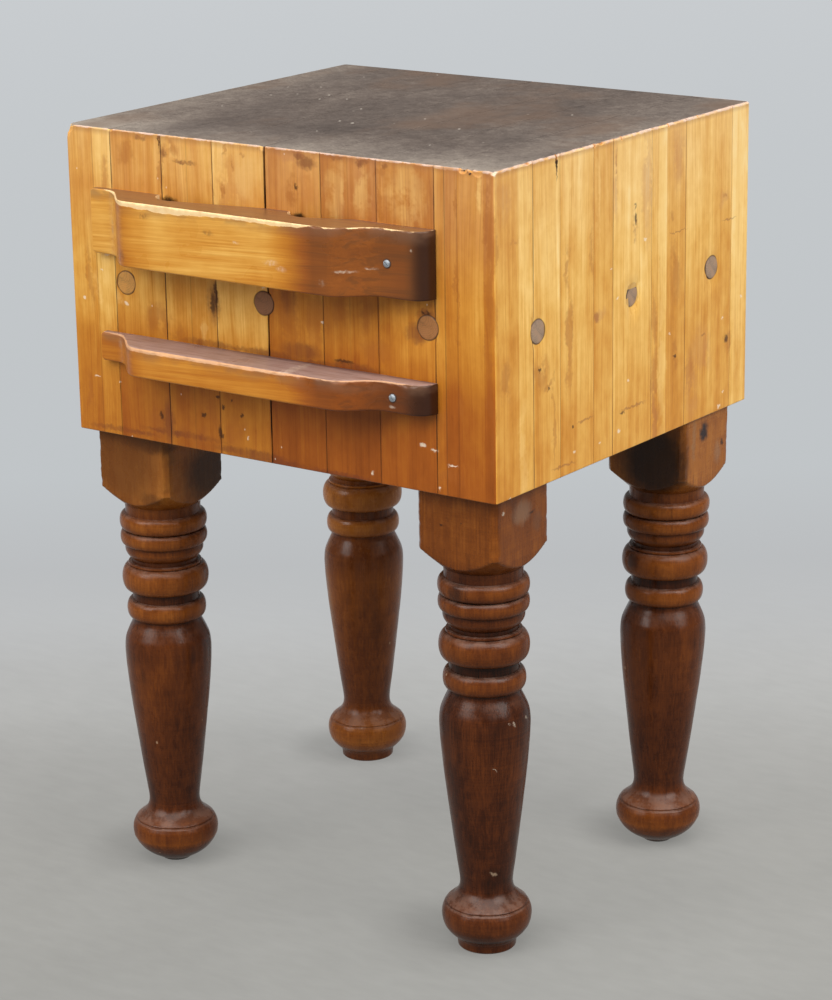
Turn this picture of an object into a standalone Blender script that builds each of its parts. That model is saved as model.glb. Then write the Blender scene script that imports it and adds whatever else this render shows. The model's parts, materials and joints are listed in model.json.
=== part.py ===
"""Butcher block table: an end-grain block of upright staves on four turned legs,
with two knife rails on its front face. Metres, +Z up, front towards -Y.
The origin is on the floor, in the middle of the table's outer box."""

import math

import bmesh
import bpy
from mathutils import Matrix, Vector

# Driving sizes of the block and the legs.
BLOCK_WIDTH = 0.560
BLOCK_DEPTH = 0.502
BLOCK_HEIGHT = 0.340
LEG_HEIGHT = 0.522
RAIL_DEPTH = 0.050
GAP = 0.0003

BLOCK_LEFT = -BLOCK_WIDTH / 2
BLOCK_FRONT = (RAIL_DEPTH - BLOCK_DEPTH) / 2
BLOCK_BACK = BLOCK_FRONT + BLOCK_DEPTH
BLOCK_TOP = LEG_HEIGHT + BLOCK_HEIGHT

# Joints between the eight slabs, measured from the block's left face.
SLAB_JOINTS = (0.0625, 0.133, 0.203, 0.2722, 0.3455, 0.416, 0.4875)
# The fourth joint has opened: its width at the top and at the bottom.
OPEN_JOINT = 3
OPEN_JOINT_TOP = 0.0022
OPEN_JOINT_BOTTOM = 0.0012
# Joints between the staves of the two outer slabs, measured from the front face.
RIGHT_STAVE_JOINTS = (0.069, 0.1185, 0.182, 0.2195, 0.2965, 0.3665, 0.4645)
LEFT_STAVE_JOINTS = (0.100, 0.190, 0.285, 0.352, 0.450)

# Tie rods. Heights are measured down from the top face, so the two sets cross clear.
ROD_RADIUS = 0.0079 / 2
BORE_RADIUS = 0.0085 / 2
COUNTERBORE_RADIUS = 0.0130
COUNTERBORE_DEPTH = 0.032
LONG_ROD_DROP = 0.1665
CROSS_ROD_DROP = 0.1755
LONG_RODS_FROM_LEFT = (0.077, 0.267, 0.478)
CROSS_RODS_FROM_FRONT = (0.077, 0.259, 0.423)
ROD_PAST_SEAT = 0.0105
WASHER_RADIUS = 0.011
WASHER_THICKNESS = 0.002
NUT_THICKNESS = 0.007
NUT_ACROSS_FLATS = 0.0140
PLUG_RADIUS = 0.0125
PLUG_THICKNESS = 0.014
PLUG_SUNK = 0.0003
MIDDLE_RIGHT_PLUG_SUNK = 0.0025

# Legs: each one's distance in from the nearest side face and front or back face.
LEG_PLACES = {
    "front_left": (0.060, 0.065),
    "front_right": (0.063, 0.067),
    "back_left": (0.050, 0.050),
    "back_right": (0.055, 0.076),
}
WIDE_FOOT_LEGS = ("front_right", "back_left")
# One leg stands a little out of true: how far its foot has crept from under its pommel.
LEG_LEAN = {"back_right": (-0.008, -0.006)}
LEG_SQUARE = 0.100
LEG_CHAMFER = 0.005
TENON_RADIUS = 0.022
TENON_LENGTH = 0.080
SOCKET_CLEARANCE = 0.0004
LEG_SIDES = 18
# The turning, as heights above the floor and radii.
CONE_TOP = 0.4600
NECK_TOP = 0.4315
NECK_RADIUS = 0.0425
# Each bead: its top, its bottom, its fullest radius, its radius at both ends.
UPPER_BEAD = (0.4195, 0.4010, 0.0488, 0.0445)
SWELLING_BEAD = ((0.0440, 0.4005), (0.0484, 0.3950), (0.0486, 0.3860), (0.0440, 0.3750), (0.0368, 0.3670))
STEP_RADIUS = 0.0415
STEP_TOP = 0.3620
GREAT_BEAD = (0.3590, 0.3290, 0.0484, 0.0405)
COLLAR_RADIUS = 0.0378
LOWER_BEAD = (0.3175, 0.2965, 0.0443, 0.0390)
SHOULDER_START = (0.0385, 0.2925)
SHOULDER_FULL = (0.0486, 0.2640)
TAPER_START = (0.0486, 0.2520)
TAPER_END = (0.0287, 0.0800)
ANKLE = ((0.0292, 0.0690), (0.0345, 0.0605), (0.0438, 0.0510))
BALL = ((0.0458, 0.0490), (0.0486, 0.0400), (0.0480, 0.0310))
WIDE_BASE = ((0.0400, 0.0165), (0.0335, 0.0115), (0.0300, 0.0))
NARROW_BASE = ((0.0440, 0.0235), (0.0340, 0.0130), (0.0160, 0.0))

# Rails: distances from the block's left face and down from its top face.
UPPER_RAIL_TOP = 0.0645
UPPER_RAIL_HEIGHT = 0.071
UPPER_RAIL_LEFT = 0.0400
LOWER_RAIL_TOP = 0.2225
LOWER_RAIL_HEIGHT = 0.032
LOWER_RAIL_LEFT = 0.0460
RAIL_RIGHT = 0.4895
RAIL_LIP_DEPTH = 0.009
RAIL_LIP_LENGTH = 0.022
RAIL_OGEE_LENGTH = 0.060
RAIL_FULL_TO = 0.388
RAIL_TAIL_FROM = 0.438
RAIL_TAIL_DEPTH = 0.022
RAIL_TAIL_CORNER = 0.020
OGEE_POINTS = 10

# Knife pockets in the back of the upper rail: left end, right end, depth.
KNIFE_POCKETS = ((0.130, 0.281, 0.0225), (0.306, 0.390, 0.0190))
POCKET_NOSE = 0.030
POCKET_HOOK = 0.004

# Rail fixings: a screw through the tail and a hidden dowel at the left.
SCREW_FROM_LEFT = {"upper": 0.445, "lower": 0.449}
SCREW_HEAD_RADIUS = 0.0040
SCREW_HEAD_HEIGHT = 0.0022
SCREW_SHANK_RADIUS = 0.0022
SCREW_IN_BLOCK = 0.038
SCREW_SLOT_WIDTH = 0.0011
SCREW_SLOT_DEPTH = 0.0009
DOWEL_FROM_LEFT = 0.106
DOWEL_RADIUS = 0.005
DOWEL_IN_BLOCK = 0.028
DOWEL_IN_RAIL = 0.022

ROUND_SIDES = 12
COUNTERBORE_SIDES = 20
SHARP_ANGLE = math.radians(32)
# How far a cutter reaches past the face it cuts through.
CUT_OVER = 0.004


def clear_scene():
    """Remove every object that is already in the file."""
    for old in list(bpy.data.objects):
        bpy.data.objects.remove(old, do_unlink=True)


def make_material(name, colour, roughness, metallic=0.0):
    """A Principled material of one colour."""
    material = bpy.data.materials.new(name)
    material.use_nodes = True
    shader = material.node_tree.nodes["Principled BSDF"]
    shader.inputs["Base Color"].default_value = (*colour, 1.0)
    shader.inputs["Roughness"].default_value = roughness
    shader.inputs["Metallic"].default_value = metallic
    material.diffuse_color = (*colour, 1.0)
    return material


def add_object(name, mesh_data, material):
    """Turn a bmesh into a named object with one material."""
    bmesh.ops.recalc_face_normals(mesh_data, faces=mesh_data.faces)
    mesh = bpy.data.meshes.new(name)
    mesh_data.to_mesh(mesh)
    mesh_data.free()
    mesh.materials.append(material)
    part = bpy.data.objects.new(name, mesh)
    bpy.context.scene.collection.objects.link(part)
    return part


def shade_round(part):
    """Smooth shading that keeps the hard edges."""
    part.data.shade_smooth()
    part.data.set_sharp_from_angle(angle=SHARP_ANGLE)


def make_cutter(cutter):
    """Mark an object as a cutter, so that it is no part of the table."""
    cutter.hide_render = True
    cutter.display_type = "WIRE"
    return cutter


def cut(part, cutter, operation="DIFFERENCE"):
    """Add one Boolean step to a part."""
    step = part.modifiers.new(f"{operation.lower()}_{cutter.name}", "BOOLEAN")
    step.operation = operation
    step.object = cutter
    step.solver = "EXACT"


def prism(name, outline, low, high, material):
    """Extrude a plan outline, given as (x, y) points, from one height to another."""
    shape = bmesh.new()
    corners = [shape.verts.new((x, y, low)) for x, y in outline]
    base = shape.faces.new(corners)
    grown = bmesh.ops.extrude_face_region(shape, geom=[base])["geom"]
    lifted = [item for item in grown if isinstance(item, bmesh.types.BMVert)]
    bmesh.ops.translate(shape, verts=lifted, vec=(0, 0, high - low))
    return add_object(name, shape, material)


def turned(name, profile, sides, material, placement):
    """Spin a profile of (radius, height) points round the axis, closed at both ends."""
    shape = bmesh.new()
    rings = []
    for radius, height in profile:
        circle = [2 * math.pi * step / sides for step in range(sides)]
        points = [(radius * math.cos(turn), radius * math.sin(turn), height) for turn in circle]
        rings.append([shape.verts.new(point) for point in points])
    for lower, upper in zip(rings, rings[1:]):
        for side in range(sides):
            after = (side + 1) % sides
            shape.faces.new((lower[side], lower[after], upper[after], upper[side]))
    shape.faces.new(list(reversed(rings[0])))
    shape.faces.new(rings[-1])
    shape.transform(placement)
    return add_object(name, shape, material)


def along(direction, start):
    """A placement that turns +Z into the given direction, from a start point."""
    turn = Vector((0, 0, 1)).rotation_difference(Vector(direction)).to_matrix().to_4x4()
    return Matrix.Translation(start) @ turn


def straight(radius, length):
    """The profile of a plain round bar."""
    return [(radius, 0.0), (radius, length)]


def boxes_touch(first, second):
    """Whether the outer boxes of two objects meet."""
    corners = []
    for part in (first, second):
        points = [vertex.co for vertex in part.data.vertices]
        low = [min(point[axis] for point in points) for axis in range(3)]
        high = [max(point[axis] for point in points) for axis in range(3)]
        corners.append((low, high))
    (low_a, high_a), (low_b, high_b) = corners
    return all(low_a[axis] < high_b[axis] and low_b[axis] < high_a[axis] for axis in range(3))


# ------------------------------------------------------------------ the block


def bore_cutter(name, start, direction, length, material):
    """A rod's bore from face to face, with a counterbore at each end."""
    profile = [
        (COUNTERBORE_RADIUS, -CUT_OVER),
        (COUNTERBORE_RADIUS, COUNTERBORE_DEPTH),
        (BORE_RADIUS, COUNTERBORE_DEPTH),
        (BORE_RADIUS, length - COUNTERBORE_DEPTH),
        (COUNTERBORE_RADIUS, length - COUNTERBORE_DEPTH),
        (COUNTERBORE_RADIUS, length + CUT_OVER),
    ]
    placement = along(direction, start)
    return make_cutter(turned(name, profile, COUNTERBORE_SIDES, material, placement))


def rod_lines():
    """Each tie rod's name, the point where it enters the block, its direction and its run."""
    long_height = BLOCK_TOP - LONG_ROD_DROP
    cross_height = BLOCK_TOP - CROSS_ROD_DROP
    lines = []
    for number, from_left in enumerate(LONG_RODS_FROM_LEFT, 1):
        entry = Vector((BLOCK_LEFT + from_left, BLOCK_FRONT, long_height))
        lines.append((f"long_{number}", entry, Vector((0, 1, 0)), BLOCK_DEPTH))
    for number, from_front in enumerate(CROSS_RODS_FROM_FRONT, 1):
        entry = Vector((BLOCK_LEFT, BLOCK_FRONT + from_front, cross_height))
        lines.append((f"cross_{number}", entry, Vector((1, 0, 0)), BLOCK_WIDTH))
    return lines


def leg_axis(place):
    """The plan point of a leg's axis."""
    from_side, from_face = LEG_PLACES[place]
    x = BLOCK_LEFT + from_side if "left" in place else -BLOCK_LEFT - from_side
    y = BLOCK_FRONT + from_face if "front" in place else BLOCK_BACK - from_face
    return x, y


def leg_placement(place, height=0.0):
    """Put a leg on its axis, and shear it about the block's underside where it leans."""
    x, y = leg_axis(place)
    lean_x, lean_y = LEG_LEAN.get(place, (0.0, 0.0))
    shear = Matrix.Identity(4)
    shear[0][2] = -lean_x / LEG_HEIGHT
    shear[1][2] = -lean_y / LEG_HEIGHT
    foot = Matrix.Translation((x + lean_x, y + lean_y, 0.0))
    return foot @ shear @ Matrix.Translation((0.0, 0.0, height))


def rail_levels(rail):
    """The top and bottom height of a rail."""
    drop = UPPER_RAIL_TOP if rail == "upper" else LOWER_RAIL_TOP
    height = UPPER_RAIL_HEIGHT if rail == "upper" else LOWER_RAIL_HEIGHT
    return BLOCK_TOP - drop, BLOCK_TOP - drop - height


def block_cutters(material):
    """Everything that is drilled into the block."""
    cutters = []
    for name, entry, direction, run in rod_lines():
        cutters.append(bore_cutter(f"bore_{name}", entry, direction, run, material))
    for place in LEG_PLACES:
        profile = straight(TENON_RADIUS + SOCKET_CLEARANCE, CUT_OVER + TENON_LENGTH + 2 * GAP)
        placement = leg_placement(place, LEG_HEIGHT - CUT_OVER)
        socket = turned(f"socket_{place}", profile, COUNTERBORE_SIDES, material, placement)
        cutters.append(make_cutter(socket))
    for rail in ("upper", "lower"):
        middle = sum(rail_levels(rail)) / 2
        screw_x = BLOCK_LEFT + SCREW_FROM_LEFT[rail]
        holes = (
            ("screw_hole", screw_x, SCREW_SHANK_RADIUS, SCREW_IN_BLOCK),
            ("dowel_hole", BLOCK_LEFT + DOWEL_FROM_LEFT, DOWEL_RADIUS, DOWEL_IN_BLOCK),
        )
        for kind, x, radius, depth in holes:
            reach = depth + 2 * GAP + CUT_OVER
            start = (x, BLOCK_FRONT + depth + 2 * GAP, middle)
            profile = straight(radius + SOCKET_CLEARANCE, reach)
            hole = turned(f"{rail}_{kind}", profile, ROUND_SIDES, material, along((0, -1, 0), start))
            cutters.append(make_cutter(hole))
    return cutters


def slab_faces():
    """Left and right side of each slab at the top and at the bottom, from the block's left."""
    edges = (0.0, *SLAB_JOINTS, BLOCK_WIDTH)
    sides = []
    for index, (left, right) in enumerate(zip(edges, edges[1:])):
        left_top = left_bottom = left + (GAP if index else 0.0)
        if index == OPEN_JOINT + 1:
            left_top = left + OPEN_JOINT_TOP
            left_bottom = left + OPEN_JOINT_BOTTOM
        sides.append((left_top, left_bottom, right))
    return sides


def stave(name, sides, front, back, material):
    """One upright stave or slab: a box whose left side may slope where the joint is open."""
    left_top, left_bottom, right = (BLOCK_LEFT + side for side in sides)
    shape = bmesh.new()
    corners = []
    for height, left in ((LEG_HEIGHT, left_bottom), (BLOCK_TOP, left_top)):
        outline = ((left, front), (right, front), (right, back), (left, back))
        corners.append([shape.verts.new((x, y, height)) for x, y in outline])
    shape.faces.new(list(reversed(corners[0])))
    shape.faces.new(corners[1])
    for side in range(4):
        after = (side + 1) % 4
        shape.faces.new((corners[0][side], corners[0][after], corners[1][after], corners[1][side]))
    return add_object(name, shape, material)


def build_block(cutters, woods):
    """The eight slabs. The two outer ones are made of separate staves."""
    pieces = []
    slabs = slab_faces()
    for index, sides in enumerate(slabs):
        wood = woods[index % len(woods)]
        joints = {0: LEFT_STAVE_JOINTS, len(slabs) - 1: RIGHT_STAVE_JOINTS}.get(index)
        if joints is None:
            pieces.append(stave(f"block_slab_{index + 1}", sides, BLOCK_FRONT, BLOCK_BACK, wood))
            continue
        side_name = "left" if index == 0 else "right"
        edges = (0.0, *joints, BLOCK_DEPTH)
        for number, (near, far) in enumerate(zip(edges, edges[1:]), 1):
            front = BLOCK_FRONT + near + (GAP if number > 1 else 0.0)
            wood = woods[number % len(woods)]
            name = f"block_{side_name}_stave_{number}"
            pieces.append(stave(name, sides, front, BLOCK_FRONT + far, wood))
    for piece in pieces:
        for cutter in cutters:
            if boxes_touch(piece, cutter):
                cut(piece, cutter)


# ------------------------------------------------- rods, nuts and wooden plugs


def circle_ring(radius, height):
    """Points round a circle, one for each side of a round piece."""
    turns = [2 * math.pi * side / ROUND_SIDES for side in range(ROUND_SIDES)]
    return [(radius * math.cos(turn), radius * math.sin(turn), height) for turn in turns]


def hexagon_ring(across_flats, height):
    """Points round a hexagon, at the same angles as the points round a circle."""
    points = []
    for side in range(ROUND_SIDES):
        turn = 2 * math.pi * side / ROUND_SIDES
        from_flat = (turn + math.pi / 6) % (math.pi / 3) - math.pi / 6
        radius = across_flats / 2 / math.cos(from_flat)
        points.append((radius * math.cos(turn), radius * math.sin(turn), height))
    return points


def flange_nut(name, seat, direction, steel):
    """A hexagon nut with its washer forged on, bored for the rod: rings joined in a loop."""
    end = WASHER_THICKNESS + NUT_THICKNESS
    shape = bmesh.new()
    rings = []
    for points in (
        circle_ring(WASHER_RADIUS, 0.0),
        circle_ring(WASHER_RADIUS, WASHER_THICKNESS),
        hexagon_ring(NUT_ACROSS_FLATS, WASHER_THICKNESS),
        hexagon_ring(NUT_ACROSS_FLATS, end),
        circle_ring(BORE_RADIUS, end),
        circle_ring(BORE_RADIUS, 0.0),
    ):
        rings.append([shape.verts.new(point) for point in points])
    for ring, following in zip(rings, rings[1:] + rings[:1]):
        for side in range(ROUND_SIDES):
            after = (side + 1) % ROUND_SIDES
            shape.faces.new((ring[side], ring[after], following[after], following[side]))
    shape.transform(along(direction, seat))
    shade_round(add_object(name, shape, steel))


def build_tie_rods(steel, plug_wood):
    """Six tie rods, a nut at each end, and a wooden plug over each nut."""
    face_names = {"long": ("front", "back"), "cross": ("left", "right")}
    for name, entry, direction, run in rod_lines():
        kind, number = name.split("_")
        inset = COUNTERBORE_DEPTH - ROD_PAST_SEAT
        start = entry + direction * inset
        rod = turned(
            f"tie_rod_{name}", straight(ROD_RADIUS, run - 2 * inset), ROUND_SIDES, steel,
            along(direction, start),
        )
        shade_round(rod)
        ends = ((entry, direction), (entry + direction * run, -direction))
        for face, (mouth, inward) in zip(face_names[kind], ends):
            seat = mouth + inward * (COUNTERBORE_DEPTH - GAP)
            flange_nut(f"rod_nut_{face}_{number}", seat, -inward, steel)
            sunk = MIDDLE_RIGHT_PLUG_SUNK if (face, number) == ("right", "2") else PLUG_SUNK
            place = along(inward, mouth + inward * sunk)
            profile = straight(PLUG_RADIUS, PLUG_THICKNESS)
            plug = turned(f"plug_{face}_{number}", profile, ROUND_SIDES, plug_wood, place)
            shade_round(plug)


# ------------------------------------------------------------------- the legs


def bead(top, bottom, full, valley, points=5):
    """Half an ellipse that swells between two equal radii, as (radius, height), downwards."""
    middle = (top + bottom) / 2
    half = (top - bottom) / 2
    turns = [math.pi * step / (points - 1) for step in range(points)]
    return [(valley + (full - valley) * math.sin(turn), middle + half * math.cos(turn)) for turn in turns]


def swept(start, end, points):
    """A smooth run of (radius, height) points that leaves and arrives upright."""
    run = []
    for step in range(points + 1):
        share = step / points
        blend = (1 - math.cos(math.pi * share)) / 2
        radius = start[0] + (end[0] - start[0]) * blend
        run.append((radius, start[1] + (end[1] - start[1]) * share))
    return run


def leg_profile(wide_foot):
    """The turned outline of a leg from the floor up to its tenon, as (radius, height)."""
    shoulder = LEG_HEIGHT - GAP
    stock = LEG_SQUARE * 0.75
    outline = [
        (TENON_RADIUS, shoulder + TENON_LENGTH),
        (TENON_RADIUS, shoulder),
        (stock, shoulder),
        (stock, CONE_TOP),
        (NECK_RADIUS, NECK_TOP),
        (NECK_RADIUS, UPPER_BEAD[0] + GAP),
    ]
    outline += bead(*UPPER_BEAD)
    outline += SWELLING_BEAD
    outline += [(SWELLING_BEAD[-1][0], STEP_TOP), (STEP_RADIUS, STEP_TOP - 2 * GAP)]
    outline += bead(*GREAT_BEAD, points=6)
    outline += [(COLLAR_RADIUS, GREAT_BEAD[1] - 2 * GAP), (COLLAR_RADIUS, LOWER_BEAD[0] + 2 * GAP)]
    outline += bead(*LOWER_BEAD)
    outline += swept(SHOULDER_START, SHOULDER_FULL, 3)
    outline += swept(TAPER_START, TAPER_END, 6)
    outline += ANKLE
    outline += BALL
    outline += WIDE_BASE if wide_foot else NARROW_BASE
    return list(reversed(outline))


def chamfered_square(side, chamfer):
    """The plan outline of the square stock with its corners taken off."""
    half = side / 2
    inner = half - chamfer
    return [
        (half, -inner), (half, inner), (inner, half), (-inner, half),
        (-half, inner), (-half, -inner), (-inner, -half), (inner, -half),
    ]


def build_leg(place, wood, cutter_material):
    """One leg: square stock turned down below its pommel, with a round tenon on top."""
    placement = leg_placement(place)
    profile = leg_profile(place in WIDE_FOOT_LEGS)
    leg = turned(f"leg_{place}", profile, LEG_SIDES, wood, placement)
    square = chamfered_square(LEG_SQUARE, LEG_CHAMFER)
    above = LEG_HEIGHT + TENON_LENGTH + CUT_OVER
    stock = make_cutter(prism(f"stock_{place}", square, -CUT_OVER, above, cutter_material))
    stock.data.transform(placement)
    cut(leg, stock, "INTERSECT")
    shade_round(leg)


# ------------------------------------------------------------------ the rails


def ogee(start, end, points=OGEE_POINTS):
    """An S-shaped run of plan points between two points, level at both ends."""
    run = []
    for step in range(points + 1):
        share = step / points
        blend = (1 - math.cos(math.pi * share)) / 2
        run.append((start[0] + (end[0] - start[0]) * share, start[1] + (end[1] - start[1]) * blend))
    return run


def rounded_end(right, depth, corner, points=6):
    """The tail's outer corner, rounded like an egg: wider along the rail than across it."""
    run = []
    for step in range(points + 1):
        turn = math.pi / 2 * step / points
        along_rail = right - corner + corner * math.sin(turn)
        across = depth * math.cos(turn) ** 0.8 if step < points else 0.0
        run.append((along_rail, across))
    return run


def pocket(left, right, depth, points=5):
    """A knife pocket, from its thin right end to its blunt hooked left end."""
    run = [(right, 0.0), (left + POCKET_NOSE, depth)]
    for step in range(1, points + 1):
        turn = math.pi / 2 * step / points
        hook = POCKET_HOOK * math.sin(2 * turn)
        away = POCKET_NOSE * (1 - math.sin(turn))
        run.append((left + away - hook, depth * math.cos(turn) if step < points else 0.0))
    return run


def rail_outline(left, pockets):
    """The rail's plan outline: distance along from the block's left, and out from its face."""
    lip_end = left + RAIL_LIP_LENGTH
    front = [(left, 0.0), (left, RAIL_LIP_DEPTH)]
    front += ogee((lip_end, RAIL_LIP_DEPTH), (lip_end + RAIL_OGEE_LENGTH, RAIL_DEPTH - GAP))
    front += ogee((RAIL_FULL_TO, RAIL_DEPTH - GAP), (RAIL_TAIL_FROM, RAIL_TAIL_DEPTH))
    front += rounded_end(RAIL_RIGHT, RAIL_TAIL_DEPTH, RAIL_TAIL_CORNER)
    back = []
    for left_end, right_end, depth in reversed(pockets):
        back += pocket(left_end, right_end, depth)
    return front + back


def build_rail(rail, wood, cutter_material):
    """One rail, drilled for its screw and its dowel. Only the upper rail has pockets."""
    left = UPPER_RAIL_LEFT if rail == "upper" else LOWER_RAIL_LEFT
    pockets = KNIFE_POCKETS if rail == "upper" else ()
    outline = [(BLOCK_LEFT + x, BLOCK_FRONT - GAP - out) for x, out in rail_outline(left, pockets)]
    top, bottom = rail_levels(rail)
    part = prism(f"knife_rail_{rail}", outline, bottom, top, wood)
    middle = (top + bottom) / 2
    screw_start = (BLOCK_LEFT + SCREW_FROM_LEFT[rail], BLOCK_FRONT + CUT_OVER, middle)
    hole_profile = straight(SCREW_SHANK_RADIUS + SOCKET_CLEARANCE, RAIL_DEPTH)
    hole = turned(
        f"{rail}_rail_screw_hole", hole_profile, ROUND_SIDES, cutter_material,
        along((0, -1, 0), screw_start),
    )
    cut(part, make_cutter(hole))
    dowel_start = (BLOCK_LEFT + DOWEL_FROM_LEFT, BLOCK_FRONT + CUT_OVER, middle)
    socket_profile = straight(DOWEL_RADIUS + SOCKET_CLEARANCE, CUT_OVER + DOWEL_IN_RAIL + 2 * GAP)
    socket = turned(
        f"{rail}_rail_dowel_socket", socket_profile, ROUND_SIDES, cutter_material,
        along((0, -1, 0), dowel_start),
    )
    cut(part, make_cutter(socket))


def build_rail_fixings(rail, steel, dowel_wood, cutter_material):
    """The slotted screw through a rail's tail and the dowel hidden behind its left end."""
    middle = sum(rail_levels(rail)) / 2
    face = RAIL_TAIL_DEPTH + 2 * GAP
    back_end = (BLOCK_LEFT + SCREW_FROM_LEFT[rail], BLOCK_FRONT + SCREW_IN_BLOCK, middle)
    reach = SCREW_IN_BLOCK + face
    profile = [
        (SCREW_SHANK_RADIUS * 0.4, 0.0),
        (SCREW_SHANK_RADIUS, 0.006),
        (SCREW_SHANK_RADIUS, reach),
        (SCREW_HEAD_RADIUS, reach + GAP),
        (SCREW_HEAD_RADIUS, reach + SCREW_HEAD_HEIGHT * 0.4),
        (SCREW_HEAD_RADIUS * 0.8, reach + SCREW_HEAD_HEIGHT * 0.85),
        (SCREW_HEAD_RADIUS * 0.4, reach + SCREW_HEAD_HEIGHT),
    ]
    placement = along((0, -1, 0), back_end)
    screw = turned(f"rail_screw_{rail}", profile, ROUND_SIDES, steel, placement)
    head_face = BLOCK_FRONT - face - SCREW_HEAD_HEIGHT
    half_slot = SCREW_SLOT_WIDTH / 2
    half_run = SCREW_HEAD_RADIUS + 0.001
    x = back_end[0]
    slot_plan = [
        (x - half_run, head_face - 0.002), (x + half_run, head_face - 0.002),
        (x + half_run, head_face + SCREW_SLOT_DEPTH), (x - half_run, head_face + SCREW_SLOT_DEPTH),
    ]
    slot = prism(f"{rail}_screw_slot", slot_plan, middle - half_slot, middle + half_slot, cutter_material)
    cut(screw, make_cutter(slot))
    shade_round(screw)
    dowel_end = (BLOCK_LEFT + DOWEL_FROM_LEFT, BLOCK_FRONT + DOWEL_IN_BLOCK, middle)
    dowel_profile = straight(DOWEL_RADIUS, DOWEL_IN_BLOCK + DOWEL_IN_RAIL)
    dowel = turned(
        f"rail_dowel_{rail}", dowel_profile, ROUND_SIDES, dowel_wood, along((0, -1, 0), dowel_end)
    )
    shade_round(dowel)


def main():
    clear_scene()
    stave_woods = [
        make_material("stave_honey", (0.60, 0.31, 0.085), 0.42),
        make_material("stave_amber", (0.50, 0.22, 0.055), 0.42),
        make_material("stave_pale", (0.68, 0.40, 0.13), 0.42),
    ]
    leg_wood = make_material("leg_varnish", (0.17, 0.060, 0.020), 0.30)
    rail_wood = make_material("rail_varnish", (0.52, 0.25, 0.055), 0.35)
    plug_wood = make_material("plug_end_grain", (0.22, 0.14, 0.09), 0.60)
    dowel_wood = make_material("dowel_beech", (0.55, 0.36, 0.18), 0.60)
    steel = make_material("plain_steel", (0.45, 0.46, 0.47), 0.35, 1.0)
    cutter_material = make_material("cutter", (0.8, 0.1, 0.1), 0.5)

    build_block(block_cutters(cutter_material), stave_woods)
    build_tie_rods(steel, plug_wood)
    for place in LEG_PLACES:
        build_leg(place, leg_wood, cutter_material)
    for rail in ("upper", "lower"):
        build_rail(rail, rail_wood, cutter_material)
        build_rail_fixings(rail, steel, dowel_wood, cutter_material)


main()
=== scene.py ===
"""Butcher block table: what it looks like. Metres, +Z up, front towards -Y.

Every new piece is a surface worked out as whole arrays of points, and stands for the
CAD node of the same name. Every material is made of patterns in the table's own space."""

import json
import math

import bmesh
import bpy
import numpy as np
from mathutils import Matrix, Vector


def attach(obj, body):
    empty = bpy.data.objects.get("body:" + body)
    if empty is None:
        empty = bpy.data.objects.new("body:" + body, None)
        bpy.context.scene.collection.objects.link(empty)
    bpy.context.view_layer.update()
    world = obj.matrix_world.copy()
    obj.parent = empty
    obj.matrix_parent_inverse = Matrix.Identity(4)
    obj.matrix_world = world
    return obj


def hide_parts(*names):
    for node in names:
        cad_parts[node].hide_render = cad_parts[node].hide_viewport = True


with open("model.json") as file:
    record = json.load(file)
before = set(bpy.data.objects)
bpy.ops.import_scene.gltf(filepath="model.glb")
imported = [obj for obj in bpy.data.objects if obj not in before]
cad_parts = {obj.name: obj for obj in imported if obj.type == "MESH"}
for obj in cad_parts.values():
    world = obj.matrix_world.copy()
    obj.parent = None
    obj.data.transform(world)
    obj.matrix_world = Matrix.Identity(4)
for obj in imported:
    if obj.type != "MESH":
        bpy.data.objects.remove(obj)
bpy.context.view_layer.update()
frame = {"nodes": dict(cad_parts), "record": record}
scene = bpy.context.scene
scene.view_settings.view_transform = "Standard"

# ---------------------------------------------------------------- sizes of the table

LEFT, RIGHT = -0.280, 0.280
FRONT, BACK = -0.226, 0.276
UNDER, TOP = 0.522, 0.862
GAP = 0.0003
PLUG_RADIUS = 0.0128
HOLE_RADIUS = 0.0131
HOLE_DEPTH = 0.0016
DEEP_HOLE = 0.0042

# Plugs on the front and back: distance from the left. On the sides: from the front.
FRONT_PLUGS = (0.077, 0.267, 0.478)
SIDE_PLUGS = (0.077, 0.259, 0.423)
FRONT_PLUG_HEIGHT = TOP - 0.1665
SIDE_PLUG_HEIGHT = TOP - 0.1755
SIDE_PLUG_RISE = (0.0, 0.003, 0.003)


def add_camera():
    """A long lens, 36 degrees round to the right of the front and 16.5 degrees up."""
    yaw, rise, roll = math.radians(35.992), math.radians(16.502), math.radians(-0.935)
    level = math.cos(rise)
    back = Vector((math.sin(yaw) * level, -math.cos(yaw) * level, math.sin(rise)))
    right = (-back).cross(Vector((0, 0, 1))).normalized()
    up = right.cross(-back)
    tilted_right = math.cos(roll) * right + math.sin(roll) * up
    tilted_up = math.cos(roll) * up - math.sin(roll) * right
    lens = bpy.data.cameras.new("camera")
    lens.lens = 110.06
    camera = bpy.data.objects.new("camera", lens)
    scene.collection.objects.link(camera)
    turn = Matrix((tilted_right, tilted_up, back)).transposed().to_4x4()
    camera.matrix_world = Matrix.Translation((1.9518, -2.6656, 1.4049)) @ turn
    scene.camera = camera


add_camera()


# ------------------------------------------------------------------ surfaces in numpy


def smooth_step(value):
    """0 up to 0, 1 from 1 on, and an S-shaped rise between."""
    value = np.clip(value, 0.0, 1.0)
    return value * value * (3.0 - 2.0 * value)


def ripple(along, seed, waves):
    """A gentle irregular wave: the sum of sines of the given wavelengths, heights and shifts."""
    shifts = np.random.default_rng(seed).uniform(0, 2 * np.pi, len(waves))
    along = np.asarray(along, float)[..., None]
    lengths = np.array([wave[0] for wave in waves])
    heights = np.array([wave[1] for wave in waves])
    return (heights * np.sin(2 * np.pi * along / lengths + shifts)).sum(-1)


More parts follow.
